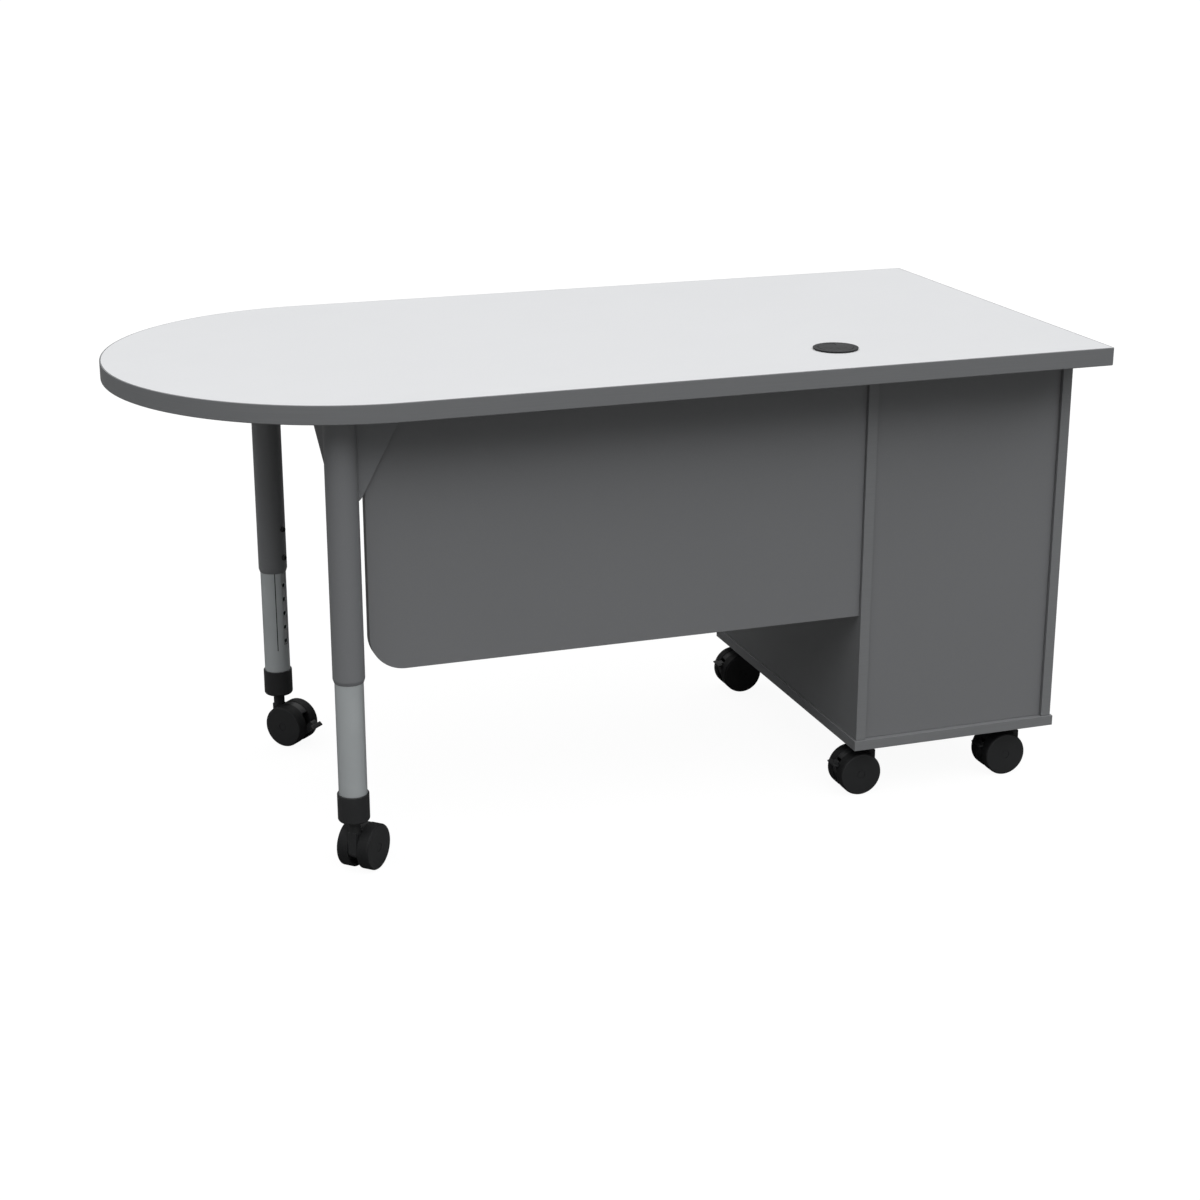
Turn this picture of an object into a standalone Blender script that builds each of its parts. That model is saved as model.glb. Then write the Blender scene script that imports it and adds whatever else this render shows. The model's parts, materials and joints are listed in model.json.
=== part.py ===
"""Teacher's desk on casters: a worktop with one half-round end, two adjustable legs and a drawer pedestal.

Lengths are in metres and +Z is up. X runs along the desk, with the pedestal at +X. The sitter is at +Y, where
the drawers open. The origin is on the floor, under the middle of the worktop.
"""

import math

import bmesh
import bpy
from mathutils import Matrix, Vector

# Worktop
DESK_HEIGHT = 0.756
TOP_LENGTH = 1.524
TOP_WIDTH = 0.762
TOP_THICKNESS = 0.0286
EDGE_BAND = 0.003
GAP = 0.0003
END_RADIUS = TOP_WIDTH / 2
END_CENTRE_X = -TOP_LENGTH / 2 + END_RADIUS
END_STEPS = 64
UNDERSIDE = DESK_HEIGHT - TOP_THICKNESS

# Cable grommet
GROMMET_PLACE = (0.3431, -0.2458)
GROMMET_HOLE_RADIUS = 0.0303
GROMMET_FLANGE_RADIUS = 0.036
GROMMET_SLEEVE_RADIUS = 0.030
GROMMET_THROAT_RADIUS = 0.027
GROMMET_CAP_RADIUS = 0.028
GROMMET_FLANGE_RISE = 0.003
GROMMET_SLEEVE_DEPTH = 0.022
NOTCH_RADIUS = 0.008
NOTCH_OFFSET = 0.016
NOTCH_DEPTH = 0.02

# Drawer pedestal
BOARD = 0.017
PEDESTAL_LEFT = 0.383
PEDESTAL_RIGHT = 0.7445
PEDESTAL_FRONT = -0.290
PEDESTAL_REAR = 0.314
FRONT_BOARD = 0.018
PEDESTAL_BASE = 0.089
BASE_REACH = 0.0034
BACK_RECESS = 0.006
SIDE_REAR = PEDESTAL_REAR - FRONT_BOARD - 0.0005
CARCASE_BOTTOM = PEDESTAL_BASE + BOARD
INNER_LEFT = PEDESTAL_LEFT + BOARD
INNER_RIGHT = PEDESTAL_RIGHT - BOARD
PEDESTAL_MIDDLE = (PEDESTAL_LEFT + PEDESTAL_RIGHT) / 2

# Modesty panel
MODESTY_LEFT = -0.4265
MODESTY_HEIGHT = 0.406
MODESTY_CORNER = 0.055
MODESTY_FACE = PEDESTAL_FRONT + BACK_RECESS

# Drawers: name, height of the front, height of the box
DRAWERS = (("file", 0.300, 0.235), ("middle", 0.1555, 0.105), ("top", 0.1555, 0.105))
FIRST_FRONT = CARCASE_BOTTOM + 0.002
FRONT_REVEAL = 0.003
FRONT_MARGIN = 0.0015
DRAWER_LENGTH = 0.500
DRAWER_WALL = 0.012
DRAWER_FLOOR = 0.006
BOX_LIFT = 0.015
SLIDE_SPACE = 0.0127
SLIDE_HEIGHT = 0.034
SLIDE_WALL = 0.0015
CABINET_RAIL_DEPTH = 0.0095
DRAWER_RAIL_DEPTH = 0.0075
DRAWER_RAIL_HEIGHT = 0.0295
RAIL_LIFT = 0.018
PULL_SPACING = 0.096
PULL_REACH = 0.026
PULL_CORNER = 0.012
PULL_RADIUS = 0.004

# Drawer lock
LOCK_OFFSET = 0.120
LOCK_HEIGHT = UNDERSIDE - BOARD - 0.0099
LOCK_BARREL = 0.0095
LOCK_FLANGE = 0.0115
CAM_REACH = 0.018
CAM_HALF_WIDTH = 0.005
CAM_DEPTH = 0.0245
CAM_THICKNESS = 0.0025
CAM_PLAY = 0.0015
CAM_SIDE_PLAY = 0.004
CAM_HEAD_PLAY = 0.002

# Legs: heights are measured down from the top of the worktop
LEG_X = -0.462
LEG_Y = 0.2915
UPPER_TUBE_RADIUS = 0.0245
UPPER_TUBE_BORE = 0.0225
UPPER_TUBE_END = 0.4425
LOWER_TUBE_RADIUS = 0.022
LOWER_TUBE_BORE = 0.020
LOWER_TUBE_TOP = 0.290
LOWER_TUBE_END = 0.6594
CUP_RADIUS = 0.0247
CUP_TOP = 0.6227
CUP_BOTTOM = 0.668
CUP_FLOOR = 0.6597
STEM_BORE = 0.0058
HOLE_PITCH = 0.0254
HOLE_RADIUS = 0.004
HOLE_COUNT = 11
LOWEST_HOLE = 0.5674
SCREW_HEIGHTS = {"upper": 0.3642, "lower": 0.415}
SCREW_ANGLE = math.radians(50)
SCREW_BORE = 0.0033
SCREW_HEAD = 0.005
SCREW_SHANK = 0.003
PLATE = 0.003
PLATE_RADIUS = 0.030
WING_ANGLES = (0.0, math.radians(105))
WING_REACH = 0.0987
WING_TIP = 0.0286
WING_DROP = 0.1314
WING_FLANGE = 0.018

# Casters: the axle trails behind the stem
WHEEL_RADIUS = 0.0365
WHEEL_STEPS = 24
WHEELS_WIDTH = 0.056
WHEELS_SPACE = 0.016
AXLE_RADIUS = 0.003
AXLE_BORE = 0.0033
TRAIL = 0.0255
HOOD_THICKNESS = 0.015
HOOD_RADIUS = 0.036
HOOD_SHOULDER = 0.033
NECK_RADIUS = 0.0095
NECK_FOOT = 0.0325
STEM_RADIUS = 0.0055
NECK_PLAY = 0.0004
LEVER_WIDTH = 0.0144
LEVER_PIVOT = (0.022, -0.015)
LEVER_BARREL = 0.003
LEVER_SWING = math.radians(30)
PADDLE_WIDTH = 0.029
CASTER_INSET_X = 0.135
CASTER_INSET_Y = 0.257
LEG_TRAIL_ANGLE = math.radians(47)
LEG_STEM = 0.035
PEDESTAL_STEM = BOARD - 0.0015

FINE_STEPS = 32
SMALL_STEPS = 16
SMOOTH_BELOW = math.radians(35)
WELD = 0.00001


def clear_scene():
    for item in list(bpy.data.objects):
        bpy.data.objects.remove(item)


def new_collection(name):
    made = bpy.data.collections.new(name)
    bpy.context.scene.collection.children.link(made)
    return made


clear_scene()
PARTS = new_collection("teacher_desk")
CUTTERS = new_collection("cutters")


# ---------------------------------------------------------------- materials


def material(name, colour, roughness, metallic=0.0):
    """A Principled material that no other piece uses."""
    made = bpy.data.materials.new(name)
    made.use_nodes = True
    shader = made.node_tree.nodes["Principled BSDF"]
    shader.inputs["Base Color"].default_value = (*colour, 1.0)
    shader.inputs["Roughness"].default_value = roughness
    shader.inputs["Metallic"].default_value = metallic
    return made


FINISHES = {
    "light_laminate": ((0.76, 0.77, 0.78), 0.45, 0.0),
    "grey_edge": ((0.125, 0.128, 0.132), 0.5, 0.0),
    "grey_laminate": ((0.13, 0.132, 0.135), 0.55, 0.0),
    "charcoal_paint": ((0.10, 0.102, 0.105), 0.45, 0.0),
    "bright_steel": ((0.50, 0.52, 0.51), 0.25, 1.0),
    "black_plastic": ((0.018, 0.018, 0.02), 0.5, 0.0),
    "drawer_board": ((0.55, 0.55, 0.56), 0.6, 0.0),
    "zinc_steel": ((0.45, 0.46, 0.47), 0.35, 1.0),
}


# ---------------------------------------------------------------- shapes


def add_part(name, mesh, finish, place=(0, 0, 0), parent=None):
    """Puts a mesh in the desk's collection as a named piece with its own material."""
    made = bpy.data.objects.new(name, mesh)
    PARTS.objects.link(made)
    mesh.materials.append(material(name + "_" + finish, *FINISHES[finish]))
    made.location = place
    made.parent = parent
    return made


def add_cutter(name, mesh, place=(0, 0, 0), parent=None):
    made = bpy.data.objects.new(name, mesh)
    CUTTERS.objects.link(made)
    made.hide_render = True
    made.display_type = "WIRE"
    made.location = place
    made.parent = parent
    return made


def add_frame(name, place, turn=0.0):
    """An empty that carries the pieces of one moving group."""
    made = bpy.data.objects.new(name, None)
    PARTS.objects.link(made)
    made.location = place
    made.rotation_euler = (0, 0, turn)
    return made


def combine(target, tool, operation):
    step = target.modifiers.new(operation.lower() + "_" + tool.name, "BOOLEAN")
    step.operation = operation
    step.object = tool
    step.solver = "EXACT"


def shade(mesh):
    mesh.shade_smooth()
    mesh.set_sharp_from_angle(angle=SMOOTH_BELOW)
    return mesh


def real_mesh(source):
    """The evaluated mesh of a helper object, welded and shaded. The helper is removed."""
    bpy.context.view_layer.update()
    graph = bpy.context.evaluated_depsgraph_get()
    mesh = bpy.data.meshes.new_from_object(source.evaluated_get(graph))
    bpy.data.objects.remove(source)
    shape = bmesh.new()
    shape.from_mesh(mesh)
    bmesh.ops.remove_doubles(shape, verts=shape.verts, dist=WELD)
    bmesh.ops.recalc_face_normals(shape, faces=shape.faces)
    shape.to_mesh(mesh)
    shape.free()
    return shade(mesh)


def box_mesh(name, low, high):
    """A box between two corners, about its own local origin."""
    low, high = Vector(low), Vector(high)
    mesh = bpy.data.meshes.new(name)
    shape = bmesh.new()
    bmesh.ops.create_cube(shape, size=1.0)
    bmesh.ops.scale(shape, vec=high - low, verts=shape.verts)
    bmesh.ops.translate(shape, vec=(low + high) / 2, verts=shape.verts)
    shape.to_mesh(mesh)
    shape.free()
    return mesh


def board(name, low, high, finish, parent=None):
    """A flat board between two corners, with its origin in its middle."""
    middle = (Vector(low) + Vector(high)) / 2
    mesh = box_mesh(name, Vector(low) - middle, Vector(high) - middle)
    return add_part(name, mesh, finish, middle, parent)


def rods_mesh(name, radius, spans, steps=SMALL_STEPS):
    """Cylinders along local Z, one for each (x, y, low z, high z)."""
    mesh = bpy.data.meshes.new(name)
    shape = bmesh.new()
    for x, y, low, high in spans:
        bmesh.ops.create_cone(
            shape,
            cap_ends=True,
            segments=steps,
            radius1=radius,
            radius2=radius,
            depth=high - low,
            matrix=Matrix.Translation((x, y, (low + high) / 2)),
        )
    shape.to_mesh(mesh)
    shape.free()
    return mesh


def outline_mesh(name, outlines, thickness):
    """A flat plate in the local XY plane, from a closed outline and any holes in it."""
    curve = bpy.data.curves.new(name, "CURVE")
    curve.dimensions = "2D"
    curve.fill_mode = "BOTH"
    curve.extrude = thickness / 2
    for points in outlines:
        spline = curve.splines.new("POLY")
        spline.points.add(len(points) - 1)
        for point, (x, y) in zip(spline.points, points):
            point.co = (x, y, 0, 1)
        spline.use_cyclic_u = True
    helper = bpy.data.objects.new(name, curve)
    CUTTERS.objects.link(helper)
    return real_mesh(helper)


def turned_mesh(name, profile, steps, closed=False, start_angle=0.0):
    """A shape turned about local Z, from (radius, height) points that run down its outer side."""
    mesh = bpy.data.meshes.new(name)
    shape = bmesh.new()
    cosine, sine = math.cos(start_angle), math.sin(start_angle)
    corners = [shape.verts.new((r * cosine, r * sine, z)) for r, z in profile]
    for upper, lower in zip(corners, corners[1:]):
        shape.edges.new((upper, lower))
    if closed:
        shape.edges.new((corners[-1], corners[0]))
    shape.to_mesh(mesh)
    shape.free()
    helper = bpy.data.objects.new(name, mesh)
    CUTTERS.objects.link(helper)
    screw = helper.modifiers.new("turn", "SCREW")
    screw.steps = steps
    screw.render_steps = steps
    screw.use_merge_vertices = True
    screw.merge_threshold = WELD
    return real_mesh(helper)


def arc(centre, radius, start, end, steps):
    """Points on an arc, from one angle in degrees to another, both ends included."""
    angles = [math.radians(start + (end - start) * i / steps) for i in range(steps + 1)]
    return [(centre[0] + radius * math.cos(a), centre[1] + radius * math.sin(a)) for a in angles]


# ---------------------------------------------------------------- worktop


def top_outline(inset):
    """The worktop's plan, moved in from its edge: a half circle at -X and square corners at +X."""
    side = TOP_WIDTH / 2 - inset
    right = TOP_LENGTH / 2 - inset
    end = arc((END_CENTRE_X, 0), side, 90, 270, END_STEPS)
    return end + [(right, -side), (right, side)]


def make_worktop():
    middle = (0, 0, DESK_HEIGHT - TOP_THICKNESS / 2)
    plan = top_outline(EDGE_BAND + GAP)
    slab = outline_mesh("worktop", [plan], TOP_THICKNESS)
    worktop = add_part("worktop", slab, "light_laminate", middle)
    hole = rods_mesh("grommet_hole", GROMMET_HOLE_RADIUS, [(0, 0, -TOP_THICKNESS, TOP_THICKNESS)], 40)
    combine(worktop, add_cutter("grommet_hole", hole, (*GROMMET_PLACE, middle[2])), "DIFFERENCE")
    band = outline_mesh("edge_band", [top_outline(0), top_outline(EDGE_BAND)], TOP_THICKNESS)
    add_part("edge_band", band, "grey_edge", middle)


def make_grommet():
    place = (*GROMMET_PLACE, DESK_HEIGHT)
    seat = GROMMET_CAP_RADIUS + GAP
    ledge = -0.0005
    liner = [
        (seat, GROMMET_FLANGE_RISE),
        (GROMMET_FLANGE_RADIUS - 0.0015, GROMMET_FLANGE_RISE),
        (GROMMET_FLANGE_RADIUS, GROMMET_FLANGE_RISE * 0.6),
        (GROMMET_FLANGE_RADIUS, GAP),
        (GROMMET_SLEEVE_RADIUS, GAP),
        (GROMMET_SLEEVE_RADIUS, -GROMMET_SLEEVE_DEPTH),
        (GROMMET_THROAT_RADIUS, -GROMMET_SLEEVE_DEPTH),
        (GROMMET_THROAT_RADIUS, ledge),
        (seat, ledge),
    ]
    add_part("grommet_liner", turned_mesh("grommet_liner", liner, 40, closed=True), "black_plastic", place)
    cap_base = ledge + GAP
    cap_top = GROMMET_FLANGE_RISE + 0.0004
    cap = [
        (0, cap_top),
        (GROMMET_CAP_RADIUS - 0.0016, cap_top),
        (GROMMET_CAP_RADIUS, cap_top - 0.001),
        (GROMMET_CAP_RADIUS, cap_base),
        (0, cap_base),
    ]
    grommet_cap = add_part("grommet_cap", turned_mesh("grommet_cap", cap, 40), "black_plastic", place)
    outer = NOTCH_OFFSET + GROMMET_CAP_RADIUS
    notch = arc((0, NOTCH_OFFSET), NOTCH_RADIUS, 180, 360, 10)
    notch += [(NOTCH_RADIUS, outer), (-NOTCH_RADIUS, outer)]
    cutter = add_cutter("cable_notch", outline_mesh("cable_notch", [notch], NOTCH_DEPTH), place)
    combine(grommet_cap, cutter, "DIFFERENCE")


# ---------------------------------------------------------------- panels


def make_modesty_panel():
    """The front screen under the worktop, with a rounded lower corner beside the leg."""
    length = PEDESTAL_LEFT - GAP - MODESTY_LEFT
    height = MODESTY_HEIGHT - GAP
    corner = arc((MODESTY_CORNER, MODESTY_CORNER), MODESTY_CORNER, 180, 270, 16)
    outline = corner + [(length, 0), (length, height), (0, height)]
    panel = add_part(
        "modesty_panel",
        outline_mesh("modesty_panel", [outline], BOARD),
        "grey_laminate",
        (MODESTY_LEFT, MODESTY_FACE + BOARD / 2, UNDERSIDE - MODESTY_HEIGHT),
    )
    panel.rotation_euler = (math.pi / 2, 0, 0)


def caster_places():
    """Where the pedestal's four casters stand, by name."""
    middle_y = (PEDESTAL_FRONT + PEDESTAL_REAR) / 2
    across = {"left": -CASTER_INSET_X, "right": CASTER_INSET_X}
    along = {"front": -CASTER_INSET_Y, "rear": CASTER_INSET_Y}
    return {
        f"{end}_{side}": (PEDESTAL_MIDDLE + across[side], middle_y + along[end])
        for end in along
        for side in across
    }


def make_pedestal():
    carcase_floor = CARCASE_BOTTOM + GAP
    ceiling = UNDERSIDE - GAP
    back_face = PEDESTAL_FRONT + BACK_RECESS
    for side, left in (("left", PEDESTAL_LEFT), ("right", INNER_RIGHT)):
        low = (left, PEDESTAL_FRONT, carcase_floor)
        board(f"pedestal_{side}_side", low, (left + BOARD, SIDE_REAR, ceiling), "grey_laminate")
    inner_low, inner_high = INNER_LEFT + GAP, INNER_RIGHT - GAP
    low = (inner_low, back_face, carcase_floor)
    board("pedestal_back", low, (inner_high, back_face + BOARD, ceiling), "grey_laminate")

    low = (PEDESTAL_LEFT - BASE_REACH, PEDESTAL_FRONT - BASE_REACH, PEDESTAL_BASE)
    high = (PEDESTAL_RIGHT + BASE_REACH, PEDESTAL_REAR + BASE_REACH, CARCASE_BOTTOM)
    base = board("pedestal_base", low, high, "grey_laminate")
    spans = [(x, y, PEDESTAL_BASE - BOARD, CARCASE_BOTTOM + BOARD) for x, y in caster_places().values()]
    combine(base, add_cutter("stem_holes", rods_mesh("stem_holes", STEM_BORE, spans)), "DIFFERENCE")

    low = (inner_low, back_face + BOARD + GAP, ceiling - BOARD)
    top = board("pedestal_top", low, (inner_high, SIDE_REAR, ceiling), "grey_laminate")
    lock_x = PEDESTAL_MIDDLE + LOCK_OFFSET
    cam_face = PEDESTAL_REAR - CAM_DEPTH
    slot_foot = ceiling - 2 * BOARD
    slot_low = (lock_x - CAM_REACH - CAM_SIDE_PLAY, cam_face - CAM_THICKNESS - CAM_PLAY, slot_foot)
    slot_head = LOCK_HEIGHT + CAM_REACH + CAM_HEAD_PLAY
    slot_high = (lock_x + CAM_HALF_WIDTH + CAM_HEAD_PLAY, cam_face + CAM_PLAY, slot_head)
    combine(top, add_cutter("cam_slot", box_mesh("cam_slot", slot_low, slot_high)), "DIFFERENCE")


# ---------------------------------------------------------------- drawers


def channel_outline(depth, height):
    """A C section that opens towards +X."""
    inner = height - SLIDE_WALL
    return [
        (0, 0),
        (depth, 0),
        (depth, SLIDE_WALL),
        (SLIDE_WALL, SLIDE_WALL),
        (SLIDE_WALL, inner),
        (depth, inner),
        (depth, height),
        (0, height),
    ]


def make_rail(name, depth, height, web_x, opens, middle, parent=None):
    """A channel along Y. Its web's outer face is at web_x, and opens is 1 for +X or -1 for -X."""
    outline = [(opens * x, y - height / 2) for x, y in channel_outline(depth, height)]
    mesh = outline_mesh(name, [outline], DRAWER_LENGTH)
    mesh.transform(Matrix.Rotation(math.pi / 2, 4, "X"))
    add_part(name, mesh, "zinc_steel", (web_x, *middle), parent)


def make_pull(name, frame, height):
    """A bent round bar with two feet on the drawer's front."""
    half = PULL_SPACING / 2
    bend = PULL_REACH - PULL_CORNER
    left = arc((-half + PULL_CORNER, bend), PULL_CORNER, 180, 90, 5)
    right = arc((half - PULL_CORNER, bend), PULL_CORNER, 90, 0, 5)
    path = [(-half, 0)] + left + right + [(half, 0)]
    curve = bpy.data.curves.new(name, "CURVE")
    curve.dimensions = "3D"
    curve.bevel_depth = PULL_RADIUS
    curve.bevel_resolution = 2
    curve.use_fill_caps = True
    spline = curve.splines.new("POLY")
    spline.points.add(len(path) - 1)
    for point, (x, y) in zip(spline.points, path):
        point.co = (x, y, 0, 1)
    helper = bpy.data.objects.new(name, curve)
    CUTTERS.objects.link(helper)
    add_part(name, real_mesh(helper), "zinc_steel", (0, FRONT_BOARD + GAP, height), frame)


def make_lock(front, frame, height):
    """A cam lock in the drawer's front. Its cam turns up into the slot in the pedestal's top board."""
    place = (LOCK_OFFSET, FRONT_BOARD, height)
    outward = Matrix.Rotation(-math.pi / 2, 4, "X")
    bore = rods_mesh("lock_bore", LOCK_BARREL + GAP, [(0, 0, -2 * FRONT_BOARD, FRONT_BOARD)], 24)
    bore.transform(outward)
    combine(front, add_cutter("lock_bore", bore, place, frame), "DIFFERENCE")
    profile = [
        (0, 0.0021),
        (LOCK_FLANGE - 0.001, 0.0021),
        (LOCK_FLANGE, 0.0012),
        (LOCK_FLANGE, GAP),
        (LOCK_BARREL, GAP),
        (LOCK_BARREL, -FRONT_BOARD),
        (0.003, -FRONT_BOARD),
        (0.003, -CAM_DEPTH - 0.0005),
        (0, -CAM_DEPTH - 0.0005),
    ]
    barrel = turned_mesh("lock_cylinder", profile, 24)
    barrel.transform(outward)
    lock = add_part("lock_cylinder", barrel, "zinc_steel", place, frame)
    low = (-CAM_REACH, -CAM_DEPTH - CAM_THICKNESS, -CAM_HALF_WIDTH)
    high = (CAM_HALF_WIDTH, -CAM_DEPTH, CAM_HALF_WIDTH)
    combine(lock, add_cutter("lock_cam", box_mesh("lock_cam", low, high), place, frame), "UNION")


def make_drawer(name, bottom, front_height, box_height):
    """A front, an open box, its pull and its slides. The frame is at the foot of the front's inner face."""
    frame = add_frame(f"drawer_{name}", (PEDESTAL_MIDDLE, PEDESTAL_REAR - FRONT_BOARD, bottom))
    half = (PEDESTAL_RIGHT - PEDESTAL_LEFT) / 2 - FRONT_MARGIN
    front = board(
        f"{name}_drawer_front", (-half, 0, 0), (half, FRONT_BOARD, front_height), "grey_laminate", frame
    )
    box_half = (INNER_RIGHT - INNER_LEFT) / 2 - SLIDE_SPACE
    low = (-box_half, -DRAWER_LENGTH - 0.0005, BOX_LIFT)
    high = (box_half, -0.0005, BOX_LIFT + box_height)
    body = board(f"{name}_drawer_box", low, high, "drawer_board", frame)
    cut_low = (low[0] + DRAWER_WALL, low[1] + DRAWER_WALL, low[2] + DRAWER_FLOOR)
    cut_high = (high[0] - DRAWER_WALL, high[1] - DRAWER_WALL, high[2] + DRAWER_FLOOR)
    hollow = f"{name}_drawer_hollow"
    combine(body, add_cutter(hollow, box_mesh(hollow, cut_low, cut_high), parent=frame), "DIFFERENCE")
    make_pull(f"{name}_drawer_pull", frame, front_height / 2)

    rail_z = BOX_LIFT + RAIL_LIFT + SLIDE_HEIGHT / 2
    rail_y = -DRAWER_LENGTH / 2 - 0.001
    for side, sign in (("left", 1), ("right", -1)):
        wall = INNER_LEFT + GAP if side == "left" else INNER_RIGHT - GAP
        fixed = (frame.location.y + rail_y, bottom + rail_z)
        make_rail(f"{name}_cabinet_rail_{side}", CABINET_RAIL_DEPTH, SLIDE_HEIGHT, wall, sign, fixed)
        box_side = -sign * (box_half + GAP)
        moving = (rail_y, rail_z)
        rail = f"{name}_drawer_rail_{side}"
        make_rail(rail, DRAWER_RAIL_DEPTH, DRAWER_RAIL_HEIGHT, box_side, -sign, moving, frame)
    return front, frame


def make_drawers():
    bottom = FIRST_FRONT
    for name, front_height, box_height in DRAWERS:
        front, frame = make_drawer(name, bottom, front_height, box_height)
        if name == "top":
            make_lock(front, frame, LOCK_HEIGHT - bottom)
        bottom += front_height + FRONT_REVEAL


# ---------------------------------------------------------------- legs


def upright(mesh, angle):
    """Stands a plate drawn in (reach, height) up on its edge, and turns it about Z."""
    mesh.transform(Matrix.Rotation(angle, 4, "Z") @ Matrix.Rotation(math.pi / 2, 4, "X"))
    return mesh


def make_upper_leg(name, place, side):
    """A tube welded to a top plate, two flanges and two wings. Side is 1 for the front leg, -1 for rear."""
    end = UPPER_TUBE_END - TOP_THICKNESS
    plate_top, plate_bottom = -GAP, -GAP - PLATE
    weld_height = -GAP - PLATE / 2
    tube = [
        (UPPER_TUBE_BORE, weld_height),
        (UPPER_TUBE_RADIUS, weld_height),
        (UPPER_TUBE_RADIUS, 0.005 - end),
        (UPPER_TUBE_RADIUS - 0.0006, 0.002 - end),
        (UPPER_TUBE_RADIUS - 0.0014, -end),
        (UPPER_TUBE_BORE, -end),
    ]
    leg = add_part(name, turned_mesh(name, tube, FINE_STEPS, closed=True), "charcoal_paint", place)
    disc = rods_mesh(name + "_plate", PLATE_RADIUS, [(0, 0, plate_bottom, plate_top)], FINE_STEPS)
    combine(leg, add_cutter(name + "_plate", disc, place), "UNION")
    inner = UPPER_TUBE_BORE + 0.001
    wing = [
        (inner, weld_height),
        (WING_REACH, weld_height),
        (WING_TIP, -WING_DROP),
        (inner, -WING_DROP - 0.005),
    ]
    for index, angle in enumerate(WING_ANGLES):
        turn = Matrix.Rotation(side * angle, 4, "Z")
        outer = side * (WING_FLANGE if index else -WING_FLANGE)
        inward = side * (-PLATE / 2 if index else PLATE / 2)
        low = (inner, min(outer, inward), plate_bottom)
        high = (WING_REACH, max(outer, inward), plate_top)
        flange = box_mesh(f"{name}_flange_{index}", low, high)
        flange.transform(turn)
        combine(leg, add_cutter(flange.name, flange, place), "UNION")
        sheet = upright(outline_mesh(f"{name}_wing_{index}", [wing], PLATE), side * angle)
        combine(leg, add_cutter(sheet.name, sheet, place), "UNION")
    for label, depth in SCREW_HEIGHTS.items():
        height = TOP_THICKNESS - depth
        bore = radial_rods(f"{name}_{label}_bore", SCREW_BORE, (0.018, 0.032), [height], side)
        combine(leg, add_cutter(bore.name, bore, place), "DIFFERENCE")


def radial_rods(name, radius, reach, heights, side):
    """Cylinders that stand out from the leg's axis towards the adjusting side, one at each height."""
    mesh = rods_mesh(name, radius, [(-height, 0, *reach) for height in heights], 12)
    mesh.transform(Matrix.Rotation(side * SCREW_ANGLE, 4, "Z") @ Matrix.Rotation(math.pi / 2, 4, "Y"))
    return mesh


def make_screw(name, place, side):
    """A set screw through the upper tube's wall, with a pan head outside."""
    head, shank = SCREW_HEAD, SCREW_SHANK
    tip, seat = LOWER_TUBE_RADIUS + GAP, UPPER_TUBE_RADIUS + 0.0004
    crown = UPPER_TUBE_RADIUS + 0.0046
    profile = [
        (0, crown),
        (head - 0.0015, crown),
        (head, crown - 0.0013),
        (head, seat),
        (shank, seat),
        (shank, tip),
        (0, tip),
    ]
    mesh = turned_mesh(name, profile, SMALL_STEPS)
    mesh.transform(Matrix.Rotation(side * SCREW_ANGLE, 4, "Z") @ Matrix.Rotation(math.pi / 2, 4, "Y"))
    add_part(name, mesh, "zinc_steel", place)


def make_lower_leg(name, place, side):
    """The bright tube that slides in the upper one, with a row of adjusting holes."""
    profile = [
        (LOWER_TUBE_BORE, -LOWER_TUBE_TOP),
        (LOWER_TUBE_RADIUS, -LOWER_TUBE_TOP),
        (LOWER_TUBE_RADIUS, -LOWER_TUBE_END),
        (LOWER_TUBE_BORE, -LOWER_TUBE_END),
    ]
    tube = add_part(name, turned_mesh(name, profile, FINE_STEPS, closed=True), "bright_steel", place)
    heights = [-LOWEST_HOLE + HOLE_PITCH * i for i in range(HOLE_COUNT)]
    holes = radial_rods(name + "_holes", HOLE_RADIUS, (0.012, 0.030), heights, side)
    combine(tube, add_cutter(holes.name, holes, place), "DIFFERENCE")


def make_cup(name, place):
    """The plastic foot on the lower tube: a wall outside it, and a boss inside it for the caster's stem."""
    wall, boss = LOWER_TUBE_RADIUS + GAP, 0.012
    boss_top = CUP_BOTTOM - 0.038
    profile = [
        (wall, -CUP_TOP),
        (CUP_RADIUS - 0.0010, -CUP_TOP),
        (CUP_RADIUS, -CUP_TOP - 0.0014),
        (CUP_RADIUS, -CUP_BOTTOM + 0.0070),
        (CUP_RADIUS - 0.0012, -CUP_BOTTOM + 0.0030),
        (CUP_RADIUS - 0.0042, -CUP_BOTTOM),
        (STEM_BORE, -CUP_BOTTOM),
        (STEM_BORE, -boss_top),
        (boss, -boss_top),
        (boss, -CUP_FLOOR),
        (wall, -CUP_FLOOR),
    ]
    add_part(name, turned_mesh(name, profile, FINE_STEPS, closed=True), "black_plastic", place)


def make_leg(end, side):
    """One whole leg on its caster, which stands with its brake pressed."""
    ground_line = (LEG_X, -side * LEG_Y)
    top = (*ground_line, DESK_HEIGHT)
    make_upper_leg(f"leg_upper_{end}", (*ground_line, UNDERSIDE), side)
    make_lower_leg(f"leg_lower_{end}", top, side)
    make_cup(f"leg_cup_{end}", top)
    for label, depth in SCREW_HEIGHTS.items():
        make_screw(f"leg_screw_{label}_{end}", (*ground_line, DESK_HEIGHT - depth), side)
    mount = DESK_HEIGHT - CUP_BOTTOM
    make_caster(f"leg_{end}", ground_line, side * LEG_TRAIL_ANGLE, mount, LEG_STEM, LEVER_SWING)


# ---------------------------------------------------------------- casters


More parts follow.
